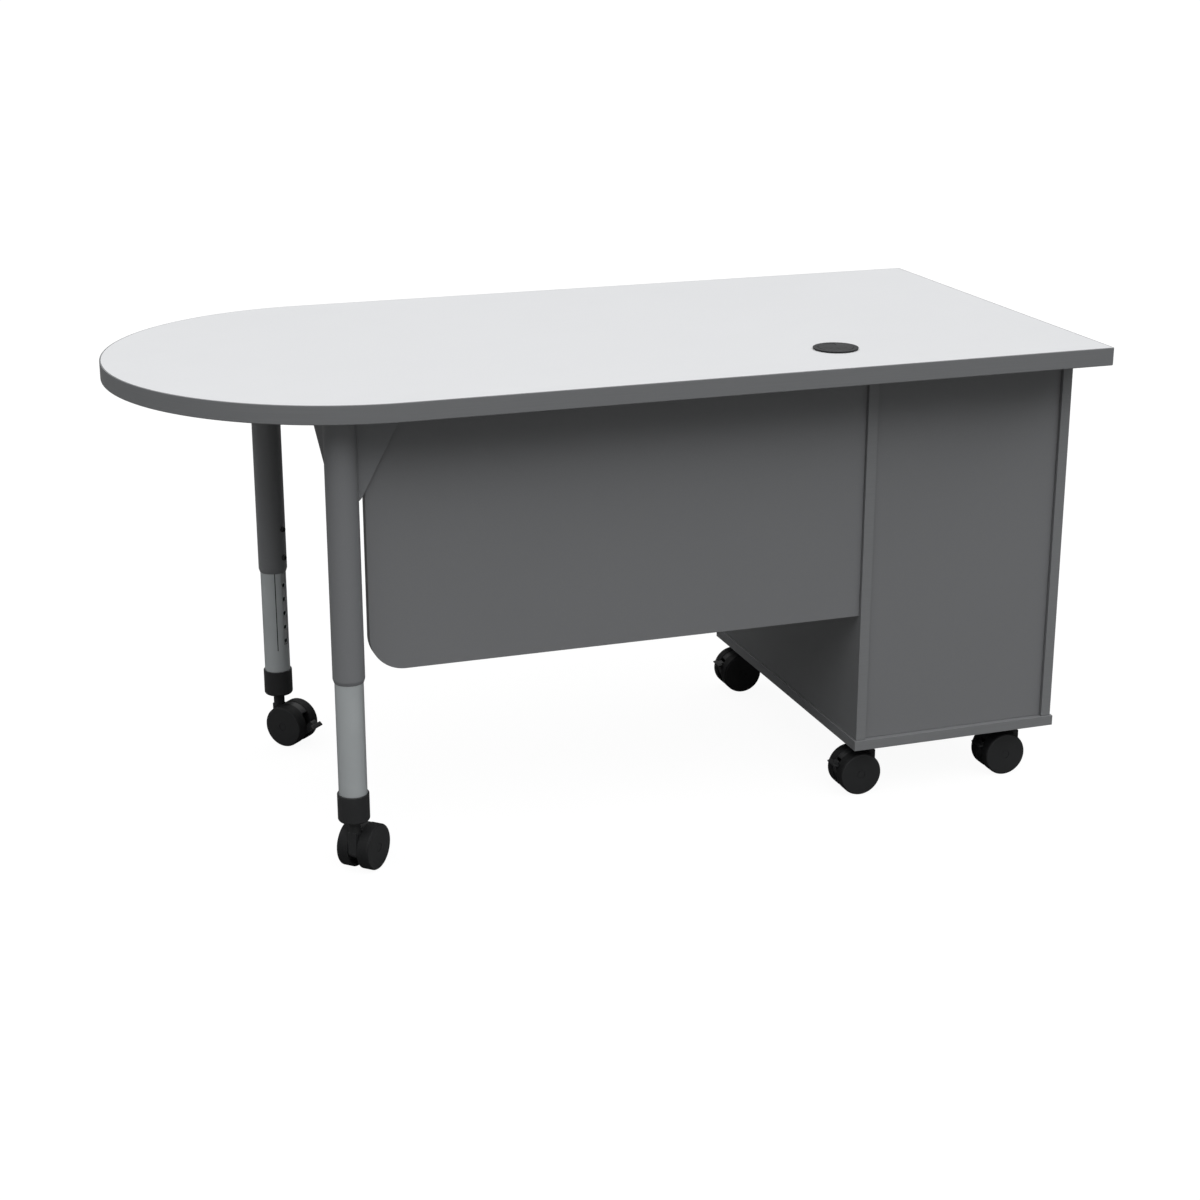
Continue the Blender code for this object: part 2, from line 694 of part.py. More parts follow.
def hood_outline():
    """The hood's side view about the axle: round over the wheels and square under the neck."""
    neck_near = NECK_RADIUS - TRAIL
    neck_far = -NECK_RADIUS - TRAIL + 0.0002
    meets_neck = math.degrees(math.acos(neck_near / HOOD_RADIUS))
    rest = [
        (neck_near, HOOD_SHOULDER),
        (neck_far, HOOD_SHOULDER),
        (neck_far, -0.004),
        (-0.030, -0.010),
        (-0.008, -0.013),
        (0.008, -0.013),
        (0.018, -0.008),
        (0.018, 0.014),
    ]
    return arc((0, 0), HOOD_RADIUS, 40, meets_neck, 10) + rest


def about_pivot(points):
    """Points given from the axle, counted from the brake lever's pivot."""
    return [(x - LEVER_PIVOT[0], z - LEVER_PIVOT[1]) for x, z in points]


def lever_outline():
    """The released brake lever's side view between the wheels, about its pivot: a barrel and an arm."""
    lower = [(0.0290, -0.0140), (0.0350, -0.0010), (0.0370, 0.0125)]
    upper = [(0.0400, 0.0160), (0.0300, 0.0190), (0.0270, 0.0165)]
    return arc((0, 0), LEVER_BARREL, 90, 270, 8) + about_pivot(lower + upper)


def paddle_outline():
    """The side view of the lever's wide end for the foot, which clears the wheels."""
    return about_pivot([(0.0358, 0.0128), (0.0432, 0.0136), (0.0430, 0.0160), (0.0350, 0.0176)])


def make_lever(name, frame, pressed):
    """The brake lever. Its origin is on its pivot, and pressed is how far it is turned down."""
    lever_turn = Matrix.Rotation(pressed, 4, "Y")
    pivot = (TRAIL + LEVER_PIVOT[0], 0, WHEEL_RADIUS + LEVER_PIVOT[1])
    arm = upright(outline_mesh(name + "_arm", [lever_outline()], LEVER_WIDTH), 0)
    arm.transform(lever_turn)
    lever = add_part(f"{name}_brake_lever", arm, "black_plastic", pivot, frame)
    wide = upright(outline_mesh(name + "_paddle", [paddle_outline()], PADDLE_WIDTH), 0)
    wide.transform(lever_turn)
    combine(lever, add_cutter(wide.name, wide, pivot, frame), "UNION")


def wheels_profile():
    """Both wheels and their axle as one turned shape, from the +Z wheel down to the -Z one."""
    radius = WHEEL_RADIUS / math.cos(math.pi / WHEEL_STEPS)
    outer, inner = WHEELS_WIDTH / 2, WHEELS_SPACE / 2
    upper = [
        (0, outer),
        (radius - 0.0040, outer),
        (radius - 0.0013, outer - 0.0010),
        (radius, outer - 0.0038),
        (radius, inner),
        (AXLE_RADIUS, inner),
    ]
    return upper + [(r, -z) for r, z in reversed(upper)]


def make_caster(name, ground, turn, mount_height, stem_length, pressed):
    """One twin-wheel caster. Its frame is on the swivel axis at floor level, with X along the trail."""
    frame = add_frame(f"{name}_swivel", (*ground, 0), turn)
    axle = (TRAIL, 0, WHEEL_RADIUS)
    neck_top = mount_height - NECK_PLAY
    neck = [
        (0, mount_height + stem_length),
        (STEM_RADIUS, mount_height + stem_length),
        (STEM_RADIUS, neck_top),
        (NECK_RADIUS, neck_top),
        (NECK_RADIUS, WHEEL_RADIUS + NECK_FOOT),
        (0, WHEEL_RADIUS + NECK_FOOT),
    ]
    stem = turned_mesh(name + "_neck", neck, 20)
    hood = add_part(f"{name}_caster_body", stem, "black_plastic", parent=frame)
    plate = upright(outline_mesh(name + "_hood", [hood_outline()], HOOD_THICKNESS), 0)
    combine(hood, add_cutter(plate.name, plate, axle, frame), "UNION")
    bore = rods_mesh(name + "_axle_bore", AXLE_BORE, [(0, 0, -HOOD_THICKNESS, HOOD_THICKNESS)])
    bore.transform(Matrix.Rotation(math.pi / 2, 4, "X"))
    combine(hood, add_cutter(bore.name, bore, axle, frame), "DIFFERENCE")

    flat_down = math.pi / WHEEL_STEPS
    wheels = turned_mesh(name + "_wheels", wheels_profile(), WHEEL_STEPS, start_angle=flat_down)
    wheels.transform(Matrix.Rotation(math.pi / 2, 4, "X"))
    add_part(f"{name}_caster_wheels", wheels, "black_plastic", axle, frame)
    make_lever(name, frame, pressed)


def make_pedestal_casters():
    """The pedestal's casters, which stand with their brakes released."""
    for name, ground in caster_places().items():
        make_caster(f"pedestal_{name}", ground, math.pi, PEDESTAL_BASE, PEDESTAL_STEM, 0.0)


def main():
    make_worktop()
    make_grommet()
    make_modesty_panel()
    make_pedestal()
    make_drawers()
    make_leg("front", 1)
    make_leg("rear", -1)
    make_pedestal_casters()


main()
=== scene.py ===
"""The looks of the teacher's desk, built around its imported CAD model.

Lengths are in metres and +Z is up. X runs along the desk, with the drawer pedestal at +X, and the visitor's
side is at -Y. Each piece is drawn in the desk's own frame, or in one of its own that a matrix puts in place.
"""

import json
import math

import bmesh
import bpy
from mathutils import Matrix, Vector


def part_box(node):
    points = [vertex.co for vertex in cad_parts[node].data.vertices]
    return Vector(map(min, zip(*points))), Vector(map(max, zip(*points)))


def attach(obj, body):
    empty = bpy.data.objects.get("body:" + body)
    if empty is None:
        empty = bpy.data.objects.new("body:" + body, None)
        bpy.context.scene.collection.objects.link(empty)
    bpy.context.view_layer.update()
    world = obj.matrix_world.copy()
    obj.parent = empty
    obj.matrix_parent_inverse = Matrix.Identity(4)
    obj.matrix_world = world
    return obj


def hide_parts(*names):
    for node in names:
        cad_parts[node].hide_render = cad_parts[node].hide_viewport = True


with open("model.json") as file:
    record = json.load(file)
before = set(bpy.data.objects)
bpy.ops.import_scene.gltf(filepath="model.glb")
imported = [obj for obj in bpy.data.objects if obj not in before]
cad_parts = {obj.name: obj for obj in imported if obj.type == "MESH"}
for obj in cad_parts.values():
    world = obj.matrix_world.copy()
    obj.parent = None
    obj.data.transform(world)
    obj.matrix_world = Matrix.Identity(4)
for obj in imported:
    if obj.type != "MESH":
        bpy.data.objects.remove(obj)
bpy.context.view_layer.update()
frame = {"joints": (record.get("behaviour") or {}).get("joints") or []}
JOINTS = {joint["name"]: joint for joint in frame["joints"]}

# Camera: where it stands from the middle of the worktop's upper face, and how it is turned
CAMERA_PLACE = (-1.1351, -3.3949, 0.7322)
CAMERA_AZIMUTH = math.radians(-19.0486)
CAMERA_DOWN = math.radians(18.3478)
CAMERA_LENS = 67.23
CAMERA_SENSOR = 36.0

# Worktop
TOP_LOW, TOP_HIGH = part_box("edge_band")
DESK_HEIGHT = TOP_HIGH.z
UNDERSIDE = TOP_LOW.z
TOP_WIDTH = TOP_HIGH.y - TOP_LOW.y
TOP_THICKNESS = DESK_HEIGHT - UNDERSIDE
END_CENTRE_X = TOP_LOW.x + TOP_WIDTH / 2
EDGE_BAND = 0.003
TOP_CORNER = 0.0035
LAMINATE = 0.0011
BACKING = 0.0008
BAND_LIP = 0.0022
GLUE_LINE = 0.00005
FLUSH = 0.0001
END_STEPS = 140

# Cable grommet: a turning cap in a flanged liner
GROMMET_LOW, GROMMET_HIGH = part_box("grommet_liner")
GROMMET = (GROMMET_LOW + GROMMET_HIGH) / 2
GROMMET_RISE = GROMMET_HIGH.z - DESK_HEIGHT
GROMMET_FLANGE = (GROMMET_HIGH.x - GROMMET_LOW.x) / 2
GROMMET_HOLE = 0.0303
SLEEVE_OUTER = 0.030
SLEEVE_INNER = 0.027
SLEEVE_DEPTH = 0.022
CAP_RADIUS = 0.028
CAP_LEDGE = -0.0005
NOTCH_RADIUS = 0.008
NOTCH_CENTRE = 0.016

# Panels
PANEL_CORNER = 0.055
BRACKET_PLACES = (-0.26, 0.0, 0.26)
PEDESTAL_BOARDS = {
    "pedestal_left_side": 0,
    "pedestal_right_side": 0,
    "pedestal_back": 1,
    "pedestal_base": 2,
    "pedestal_top": 2,
}

# Drawers and their lock
DRAWERS = ("file", "middle", "top")
WALL = 0.012
FLOOR = 0.006
WALL_SEAM = 0.0002
PULL_RADIUS = 0.004
PULL_BEND = 0.012
RAIL_GAUGE = 0.0015
RAIL_BEND = 0.0022
LOCK_LOW, LOCK_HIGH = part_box("lock_cylinder")
LOCK_BEZEL = 0.0115
LOCK_BARREL = 0.0095
LOCK_BORE = 0.0098
CAM_REACH = 0.018
CAM_HALF_WIDTH = 0.005
CAM_BACK = LOCK_LOW.y
CAM_FACE = CAM_BACK + 0.0025
CAM_ROOM = 0.0015

# Legs: heights of holes and screws are measured down from the top of the worktop, and the feet of the seam
# and the channel down from the lowest hole
UPPER_TUBE_RADIUS = 0.0245
UPPER_TUBE_BORE = 0.0225
LOWER_TUBE_BORE = 0.020
HOLE_PITCH = 0.0254
HOLE_RADIUS = 0.004
HOLE_COUNT = 11
LOWEST_HOLE = 0.5674
SCREW_HEIGHTS = {"upper": 0.3642, "lower": 0.415}
SCREW_ANGLE = math.radians(50)
SCREW_RADIUS = 0.003
SCREW_BORE = 0.0034
SEAM_ANGLE = math.radians(94.6)
SEAM_WIDTH = 0.0015
SEAM_DEPTH = 0.0009
SEAM_FOOT = 0.016
CHANNEL_HALF = 0.0052
CHANNEL_DEPTH = 0.0012
CHANNEL_FOOT = 0.006
PLATE = 0.003
PLATE_RADIUS = 0.030
WING_ANGLES = (0.0, math.radians(105))
WING_REACH = 0.0987
WING_TIP = 0.0286
WING_DROP = 0.1314
WING_FLANGE = 0.018
WING_SCREWS = (0.048, 0.084)
CUP_WALL = 0.0223
CUP_BOSS = 0.012
CUP_BORE = 0.0058

# Casters: the axle trails behind the stem
WHEEL_RADIUS = JOINTS["leg_front_swivel"]["pos_m"][2]
WHEELS_WIDTH = 0.056
WHEELS_SPACE = 0.016
TRAIL = 0.0255
HOOD_THICKNESS = 0.015
HOOD_RADIUS = 0.036
HOOD_SHOULDER = 0.033
NECK_RADIUS = 0.0095
NECK_FOOT = 0.0325
STEM_RADIUS = 0.0055
PIN_BORE = 0.0033
HUB_RADIUS = 0.0062
HUB_GROOVE = 0.0007
WEB_INSET = 0.006
LEVER_WIDTH = 0.0144
LEVER_PIVOT = (0.022, -0.015)
LEVER_SWING = math.radians(30)
PADDLE_WIDTH = 0.029

# Everywhere: the play between parts, how far a cutter reaches past what it cuts, the usual softened edge, the
# angles between faces that count as smooth or as an edge, and the distance under which two points are one
GAP = 0.0003
PAST = 0.01
SOFT_EDGE = 0.0006
SMOOTH_BELOW = math.radians(42)
SHARP_ABOVE = math.radians(40)
WELD = 0.000001
QUARTER = math.pi / 2

# Light: a dome that rises from dim to bright between two heights, with a brighter lobe on the visitor's side
FRONT = (0.05, -1.0, 0.0)
FRONT_GAIN = 2.5
FRONT_FOCUS = 2.0
SKY_LOW, SKY_HIGH = 0.07, 1.37
SKY_RISE = (math.sin(math.radians(21)), math.sin(math.radians(50)))
BACKDROP = 1.05
FLOOR_SIZE = 24.0
FLOOR_DROP = 0.0005
FLOOR_BOUNCE = 0.18
FLOOR_SHADOW = 0.10


# ---------------------------------------------------------------- material nodes


def add_node(tree, kind, inputs=(), **settings):
    """A shader node. An input is given by name or number, as a value or as another node's output."""
    node = tree.nodes.new("ShaderNode" + kind)
    for name, value in settings.items():
        setattr(node, name, value)
    for name, value in dict(inputs).items():
        if isinstance(value, bpy.types.NodeSocket):
            tree.links.new(value, node.inputs[name])
        else:
            node.inputs[name].default_value = value
    return node


def new_material(name):
    """(material, its node tree, its Principled shader, its object coordinates)"""
    made = bpy.data.materials.new(name)
    made.use_nodes = True
    tree = made.node_tree
    place = add_node(tree, "TexCoord").outputs["Object"]
    return made, tree, tree.nodes["Principled BSDF"], place


def noise(tree, place, scale, detail=2.0, stretch=None):
    if stretch:
        place = add_node(tree, "Mapping", {"Vector": place, "Scale": stretch}).outputs[0]
    return add_node(tree, "TexNoise", {"Vector": place, "Scale": scale, "Detail": detail}).outputs[0]


def cells(tree, place, scale, feature="F1"):
    return add_node(tree, "TexVoronoi", {"Vector": place, "Scale": scale}, feature=feature)


def spread(tree, value, low, high, start=0.3, end=0.7):
    """The value, moved from the range start to end onto the range low to high."""
    inputs = {"Value": value, "From Min": start, "From Max": end, "To Min": low, "To Max": high}
    return add_node(tree, "MapRange", inputs).outputs[0]


def mixed(tree, amount, first, second):
    """A colour between two, by an amount from 0 to 1."""
    inputs = {0: amount, 6: first, 7: second}
    return add_node(tree, "Mix", inputs, data_type="RGBA").outputs[2]


def bumped(tree, height, distance, under=None):
    inputs = {"Height": height, "Distance": distance, "Strength": 1.0}
    if under:
        inputs["Normal"] = under
    return add_node(tree, "Bump", inputs).outputs[0]


def shade_of(colour, factor):
    """The colour made lighter or darker, as an RGBA value."""
    return (*[channel * factor for channel in colour], 1.0)


def connect(tree, shader, **sockets):
    """Sets inputs of the shader, each to a value or from another node's output."""
    for name, value in sockets.items():
        socket = shader.inputs[name.replace("_", " ").title()]
        if isinstance(value, bpy.types.NodeSocket):
            tree.links.new(value, socket)
        else:
            socket.default_value = value


# ---------------------------------------------------------------- materials


def light_laminate():
    """Smooth light laminate: a print of very fine flecks under a suede finish, with faint handling marks."""
    made, tree, shader, place = new_material("light_laminate")
    base = (0.742, 0.750, 0.764)
    clouds = spread(tree, noise(tree, place, 3.0, 4.0), 0, 1)
    cloudy = mixed(tree, clouds, shade_of(base, 0.995), shade_of(base, 1.005))
    flecks = cells(tree, place, 850.0).outputs["Color"]
    fleck = spread(tree, flecks, 0, 0.5, 0.72, 0.98)
    colour = mixed(tree, fleck, cloudy, shade_of(base, 0.93))
    suede = noise(tree, place, 2600.0, 3.0)
    marks = noise(tree, place, 14.0, 6.0, stretch=(1.0, 3.0, 1.0))
    connect(tree, shader, base_color=colour, roughness=spread(tree, marks, 0.44, 0.47))
    connect(tree, shader, normal=bumped(tree, suede, 0.000012))
    return made


def backer():
    """The plain brown-grey backing sheet on the worktop's underside."""
    made, tree, shader, place = new_material("backing_sheet")
    base = (0.30, 0.285, 0.27)
    streaks = spread(tree, noise(tree, place, 30.0, 5.0, stretch=(0.15, 1.0, 1.0)), 0, 1)
    colour = mixed(tree, streaks, shade_of(base, 0.9), shade_of(base, 1.1))
    weave = noise(tree, place, 900.0, 2.0)
    connect(tree, shader, base_color=colour, roughness=0.7, normal=bumped(tree, weave, 0.00003))
    return made


def particle_board():
    """Pressed wood chips, where a board's core shows."""
    made, tree, shader, place = new_material("particle_board")
    stretched = add_node(tree, "Mapping", {"Vector": place, "Scale": (1.0, 1.0, 3.0)}).outputs[0]
    chips = cells(tree, stretched, 380.0)
    tone = spread(tree, chips.outputs["Color"], 0, 1, 0.1, 0.9)
    colour = mixed(tree, tone, (0.20, 0.12, 0.06, 1), (0.52, 0.37, 0.22, 1))
    connect(tree, shader, base_color=colour, roughness=0.85)
    connect(tree, shader, normal=bumped(tree, chips.outputs["Distance"], 0.0003))
    return made


def edge_banding(name, base):
    """Extruded edging: a fine pebble with faint lines along the strip."""
    made, tree, shader, place = new_material(name)
    lines = spread(tree, noise(tree, place, 8.0, 4.0, stretch=(1.0, 1.0, 90.0)), 0, 1)
    colour = mixed(tree, lines, shade_of(base, 0.97), shade_of(base, 1.03))
    pebble = noise(tree, place, 1900.0, 2.0)
    rubbed = noise(tree, place, 22.0, 5.0)
    connect(tree, shader, base_color=colour, roughness=spread(tree, rubbed, 0.44, 0.56))
    connect(tree, shader, normal=bumped(tree, pebble, 0.00002))
    return made


def dark_laminate():
    """Dark melamine board with a fine pearl texture pressed into it."""
    made, tree, shader, place = new_material("dark_laminate")
    base = (0.223, 0.228, 0.236)
    clouds = spread(tree, noise(tree, place, 5.0, 4.0), 0, 1)
    cloudy = mixed(tree, clouds, shade_of(base, 0.98), shade_of(base, 1.02))
    pearl = cells(tree, place, 1300.0, "SMOOTH_F1").outputs["Distance"]
    colour = mixed(tree, spread(tree, pearl, 0, 1, 0.2, 0.8), shade_of(base, 0.94), cloudy)
    handled = noise(tree, place, 9.0, 6.0)
    fine = bumped(tree, noise(tree, place, 3200.0, 2.0), 0.000012)
    connect(tree, shader, base_color=colour, roughness=spread(tree, handled, 0.50, 0.60))
    connect(tree, shader, normal=bumped(tree, pearl, 0.00003, fine))
    return made


def powder_coat():
    """Satin charcoal powder coat: an orange-peel skin with a few glinting grains."""
    made, tree, shader, place = new_material("charcoal_powder_coat")
    base = (0.221, 0.227, 0.236)
    grains = cells(tree, place, 1500.0).outputs["Color"]
    colour = mixed(tree, spread(tree, grains, 0, 0.35, 0.75, 1.0), shade_of(base, 1.0), shade_of(base, 1.35))
    peel = noise(tree, place, 420.0, 1.0)
    skin = bumped(tree, noise(tree, place, 1600.0, 2.0), 0.00002)
    worn = noise(tree, place, 18.0, 5.0)
    connect(tree, shader, base_color=colour, roughness=spread(tree, worn, 0.40, 0.52))
    connect(tree, shader, normal=bumped(tree, peel, 0.00007, skin))
    return made


def bright_plating():
    """Bright plated tube with the fine rings that polishing leaves round it."""
    made, tree, shader, place = new_material("bright_plating")
    base = (0.68, 0.72, 0.73)
    haze = spread(tree, noise(tree, place, 16.0, 5.0), 0, 1)
    colour = mixed(tree, haze, shade_of(base, 0.95), shade_of(base, 1.03))
    rings = noise(tree, place, 60.0, 3.0, stretch=(1.0, 1.0, 60.0))
    connect(tree, shader, base_color=colour, metallic=0.5, roughness=spread(tree, rings, 0.30, 0.40))
    connect(tree, shader, specular_tint=(0.45, 0.45, 0.45, 1.0))
    connect(tree, shader, normal=bumped(tree, rings, 0.000004))
    return made


def moulded_plastic(name, base, low, high, ior=1.5):
    """Moulded plastic with a spark-eroded grain, rubbed smoother here and there."""
    made, tree, shader, place = new_material(name)
    flow = spread(tree, noise(tree, place, 35.0, 3.0), 0, 1)
    colour = mixed(tree, flow, shade_of(base, 0.92), shade_of(base, 1.08))
    grain = noise(tree, place, 2400.0, 3.0)
    rubbed = noise(tree, place, 40.0, 5.0)
    shader.inputs["IOR"].default_value = ior
    connect(tree, shader, base_color=colour, roughness=spread(tree, rubbed, low, high))
    connect(tree, shader, normal=bumped(tree, grain, 0.000025))
    return made


def drawer_board():
    """Pale board with a printed linen pattern, used inside the drawers."""
    made, tree, shader, place = new_material("drawer_board")
    base = (0.56, 0.565, 0.57)
    warp = noise(tree, place, 160.0, 2.0, stretch=(1.0, 9.0, 9.0))
    weft = noise(tree, place, 160.0, 2.0, stretch=(9.0, 1.0, 9.0))
    threads = add_node(tree, "Math", {0: warp, 1: weft}, operation="MULTIPLY").outputs[0]
    colour = mixed(tree, spread(tree, threads, 0, 1, 0.15, 0.35), shade_of(base, 0.95), shade_of(base, 1.03))
    connect(tree, shader, base_color=colour, roughness=0.58, normal=bumped(tree, threads, 0.00003))
    return made


def zinc_plating():
    """Zinc or nickel plate with the blotches of its passivation."""
    made, tree, shader, place = new_material("zinc_plating")
    blotch = spread(tree, noise(tree, place, 70.0, 5.0), 0, 1)
    colour = mixed(tree, blotch, (0.50, 0.52, 0.54, 1), (0.62, 0.62, 0.60, 1))
    drawn = noise(tree, place, 300.0, 3.0, stretch=(4.0, 0.3, 4.0))
    connect(tree, shader, base_color=colour, metallic=1.0, roughness=spread(tree, drawn, 0.28, 0.42))
    connect(tree, shader, normal=bumped(tree, drawn, 0.000005))
    return made


DARK = edge_banding("dark_edging", (0.227, 0.233, 0.240))
BLACK = moulded_plastic("black_plastic", (0.020, 0.021, 0.022), 0.42, 0.56)
# A flat grey for the floor of the lower tubes' adjusting channel: painted shade in the recess.
CHANNEL_SHADE = moulded_plastic("dull_steel", (0.50, 0.51, 0.52), 0.45, 0.6)
# Near-black matte plastic for the wheels' treads. It is also painted shade on the wheels' rounded shoulders,
# on the grommet flange's rim and underside, and inside the lower tubes' holes, seam and channel.
TREAD_AND_SHADE = moulded_plastic("wheel_tread", (0.0125, 0.013, 0.0138), 0.6, 0.75, ior=1.36)
FINISHES = {
    "light_laminate": (light_laminate(),),
    "grey_edge": (edge_banding("worktop_edging", (0.209, 0.215, 0.222)),),
    "grey_laminate": (dark_laminate(), DARK),
    "charcoal_paint": (powder_coat(),),
    "bright_steel": (bright_plating(), CHANNEL_SHADE, TREAD_AND_SHADE),
    "black_plastic": (BLACK,),
    "drawer_board": (drawer_board(),),
    "zinc_steel": (zinc_plating(), BLACK),
}
GROMMET_PLASTIC = moulded_plastic("grommet_plastic", (0.035, 0.036, 0.038), 0.45, 0.58)


# ---------------------------------------------------------------- outlines


def arc(centre, radius, start, end, steps):
    """Points on an arc, from one angle in degrees to another, both ends included."""
    angles = [math.radians(start + (end - start) * i / steps) for i in range(steps + 1)]
    return [(centre[0] + radius * math.cos(a), centre[1] + radius * math.sin(a)) for a in angles]


def rounded(points, steps=5, closed=True):
    """The outline with an arc in place of each corner that has a radius as its third number."""
    made = []
    for index, (x, y, *radius) in enumerate(points):
        at_end = index in (0, len(points) - 1) and not closed
        corner = Vector((x, y))
        if not radius or at_end:
            made.append((x, y))
            continue
        before = (Vector(points[index - 1][:2]) - corner).normalized()
        after = (Vector(points[(index + 1) % len(points)][:2]) - corner).normalized()
        half = before.angle(after) / 2
        centre = corner + (before + after).normalized() * radius[0] / math.sin(half)
        first = corner + before * radius[0] / math.tan(half) - centre
        last = corner + after * radius[0] / math.tan(half) - centre
        turn = -first.angle_signed(last)
        for step in range(steps + 1):
            spoke = Matrix.Rotation(turn * step / steps, 2) @ first
            made.append(tuple(centre + spoke))
    return made


# ---------------------------------------------------------------- shapes


def soften(shape, width, segments=2):
    """Rounds the edges where two faces meet at a clear angle."""
    edges = [e for e in shape.edges if len(e.link_faces) == 2 and e.calc_face_angle() > SHARP_ABOVE]
    bmesh.ops.bevel(shape, geom=edges, offset=width, segments=segments, profile=0.5, affect="EDGES")
    return shape


def box(low, high, edge=SOFT_EDGE, segments=2):
    """A block between two corners, with rounded edges."""
    low, high = Vector(low), Vector(high)
    shape = bmesh.new()
    bmesh.ops.create_cube(shape, size=1.0)
    bmesh.ops.scale(shape, vec=high - low, verts=shape.verts)
    bmesh.ops.translate(shape, vec=(low + high) / 2, verts=shape.verts)
    return soften(shape, edge, segments) if edge else shape


def prism(outline, low, high, edge=0.0, segments=2):
    """A plate from its outline in XY, between two heights, with rounded rims."""
    shape = bmesh.new()
    face = shape.faces.new([shape.verts.new((x, y, low)) for x, y in outline])
    grown = bmesh.ops.extrude_face_region(shape, geom=[face])["geom"]
    upper = [item for item in grown if isinstance(item, bmesh.types.BMVert)]
    bmesh.ops.translate(shape, vec=(0, 0, high - low), verts=upper)
    bmesh.ops.recalc_face_normals(shape, faces=shape.faces)
    return soften(shape, edge, segments) if edge else shape


def lofted(loops):
    """A closed ring skinned over loops that have the same number of points."""
    shape = bmesh.new()
    rings = [[shape.verts.new(point) for point in loop] for loop in loops]
    for one, other in zip(rings, rings[1:] + rings[:1]):
        for index in range(len(one)):
            after = (index + 1) % len(one)
            shape.faces.new((one[index], one[after], other[after], other[index]))
    bmesh.ops.recalc_face_normals(shape, faces=shape.faces)
    return shape


def turned(profile, steps=64, closed=False):
    """A shape turned about Z, from (radius, height) points."""
    shape = bmesh.new()
    corners = [shape.verts.new((radius, 0, height)) for radius, height in profile]
    lines = [shape.edges.new(pair) for pair in zip(corners, corners[1:])]
    if closed:
        lines.append(shape.edges.new((corners[-1], corners[0])))
    full = 2 * math.pi
    bmesh.ops.spin(shape, geom=corners + lines, cent=(0, 0, 0), axis=(0, 0, 1), angle=full, steps=steps)
    bmesh.ops.remove_doubles(shape, verts=shape.verts, dist=WELD)
    bmesh.ops.recalc_face_normals(shape, faces=shape.faces)
    return shape


def rod(radius, low, high, steps):
    """A plain cylinder about Z."""
    return turned([(0, high), (radius, high), (radius, low), (0, low)], steps)


def bore_at(x, y, radius, low, high, steps=40):
    """A cylinder that cuts an upright hole."""
    return placed(rod(radius, low - PAST, high + PAST, steps), (x, y, 0))


def bar(path, radius, swell=None):
    """A round bar along a path. Swell gives the radius factor at each of its points."""
    curve = bpy.data.curves.new("bar", "CURVE")
    curve.dimensions = "3D"
    curve.bevel_depth = radius
    curve.bevel_resolution = 5
    curve.use_fill_caps = True
    spline = curve.splines.new("POLY")
    spline.points.add(len(path) - 1)
    for index, place in enumerate(path):
        spline.points[index].co = (*place, 1)
        spline.points[index].radius = swell[index] if swell else 1.0
    return evaluated(bpy.data.objects.new("bar", curve))


def evaluated(source):
    """The shape of a helper object with its modifiers, welded. The helper is removed."""
    bpy.context.scene.collection.objects.link(source)
    bpy.context.view_layer.update()
    graph = bpy.context.evaluated_depsgraph_get()
    mesh = bpy.data.meshes.new_from_object(source.evaluated_get(graph))
    shape = bmesh.new()
    shape.from_mesh(mesh)
    bpy.data.meshes.remove(mesh)
    bpy.data.objects.remove(source)
    bmesh.ops.remove_doubles(shape, verts=shape.verts, dist=WELD)
    bmesh.ops.recalc_face_normals(shape, faces=shape.faces)
    return shape


def helper(shape):
    """An object that holds the shape, for a modifier to work on."""
    mesh = bpy.data.meshes.new("helper")
    shape.to_mesh(mesh)
    shape.free()
    return bpy.data.objects.new("helper", mesh)


def carved(shape, *tools):
    """The shape with the volume of each tool cut out of it."""
    target = helper(shape)
    cutters = [helper(tool) for tool in tools]
    for cutter in cutters:
        bpy.context.scene.collection.objects.link(cutter)
        step = target.modifiers.new("cut", "BOOLEAN")
        step.operation = "DIFFERENCE"
        step.object = cutter
        step.solver = "EXACT"
    result = evaluated(target)
    for cutter in cutters:
        bpy.data.objects.remove(cutter)
    return result


def merged(*shapes):
    """The shapes side by side in one, each still closed on its own."""
    whole = bmesh.new()
    for shape in shapes:
        mesh = bpy.data.meshes.new("part")
        shape.to_mesh(mesh)
        shape.free()
        whole.from_mesh(mesh)
        bpy.data.meshes.remove(mesh)
    return whole


def placed(shape, *steps):
    """The shape after each matrix or offset in turn."""
    for step in steps:
        matrix = step if isinstance(step, Matrix) else Matrix.Translation(step)
        bmesh.ops.transform(shape, matrix=matrix, verts=shape.verts)
        if matrix.determinant() < 0:
            bmesh.ops.reverse_faces(shape, faces=shape.faces)
    return shape


def turn(angle, axis):
    return Matrix.Rotation(angle, 4, axis)


def painted(shape, slot, test):
    """Gives the faces that pass the test the finish's material of that number."""
    shape.normal_update()
    for face in shape.faces:
        if test(face):
            face.material_index = slot
    return shape


def banded(shape, thin):
    """A board's shape whose narrow faces get the edging, thin being the axis through its thickness."""
    return painted(shape, 1, lambda face: abs(face.normal[thin]) < 0.7)


def piece(name, shape, slot, body, replaces=(), finish=None):
    """Puts a shape in the scene as a piece that rides on a body and takes the record slot's finish."""
    mesh = bpy.data.meshes.new(name)
    shape.to_mesh(mesh)
    shape.free()
    mesh.shade_smooth()
    mesh.set_sharp_from_angle(angle=SMOOTH_BELOW)
    for material in finish or FINISHES[slot]:
        mesh.materials.append(material)
    made = bpy.data.objects.new(name, mesh)
    bpy.context.scene.collection.objects.link(made)
    made.modifiers.new("flat_faces", "WEIGHTED_NORMAL").keep_sharp = True
    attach(made, body)
    if replaces:
        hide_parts(*replaces)
    return made


# ---------------------------------------------------------------- small hardware


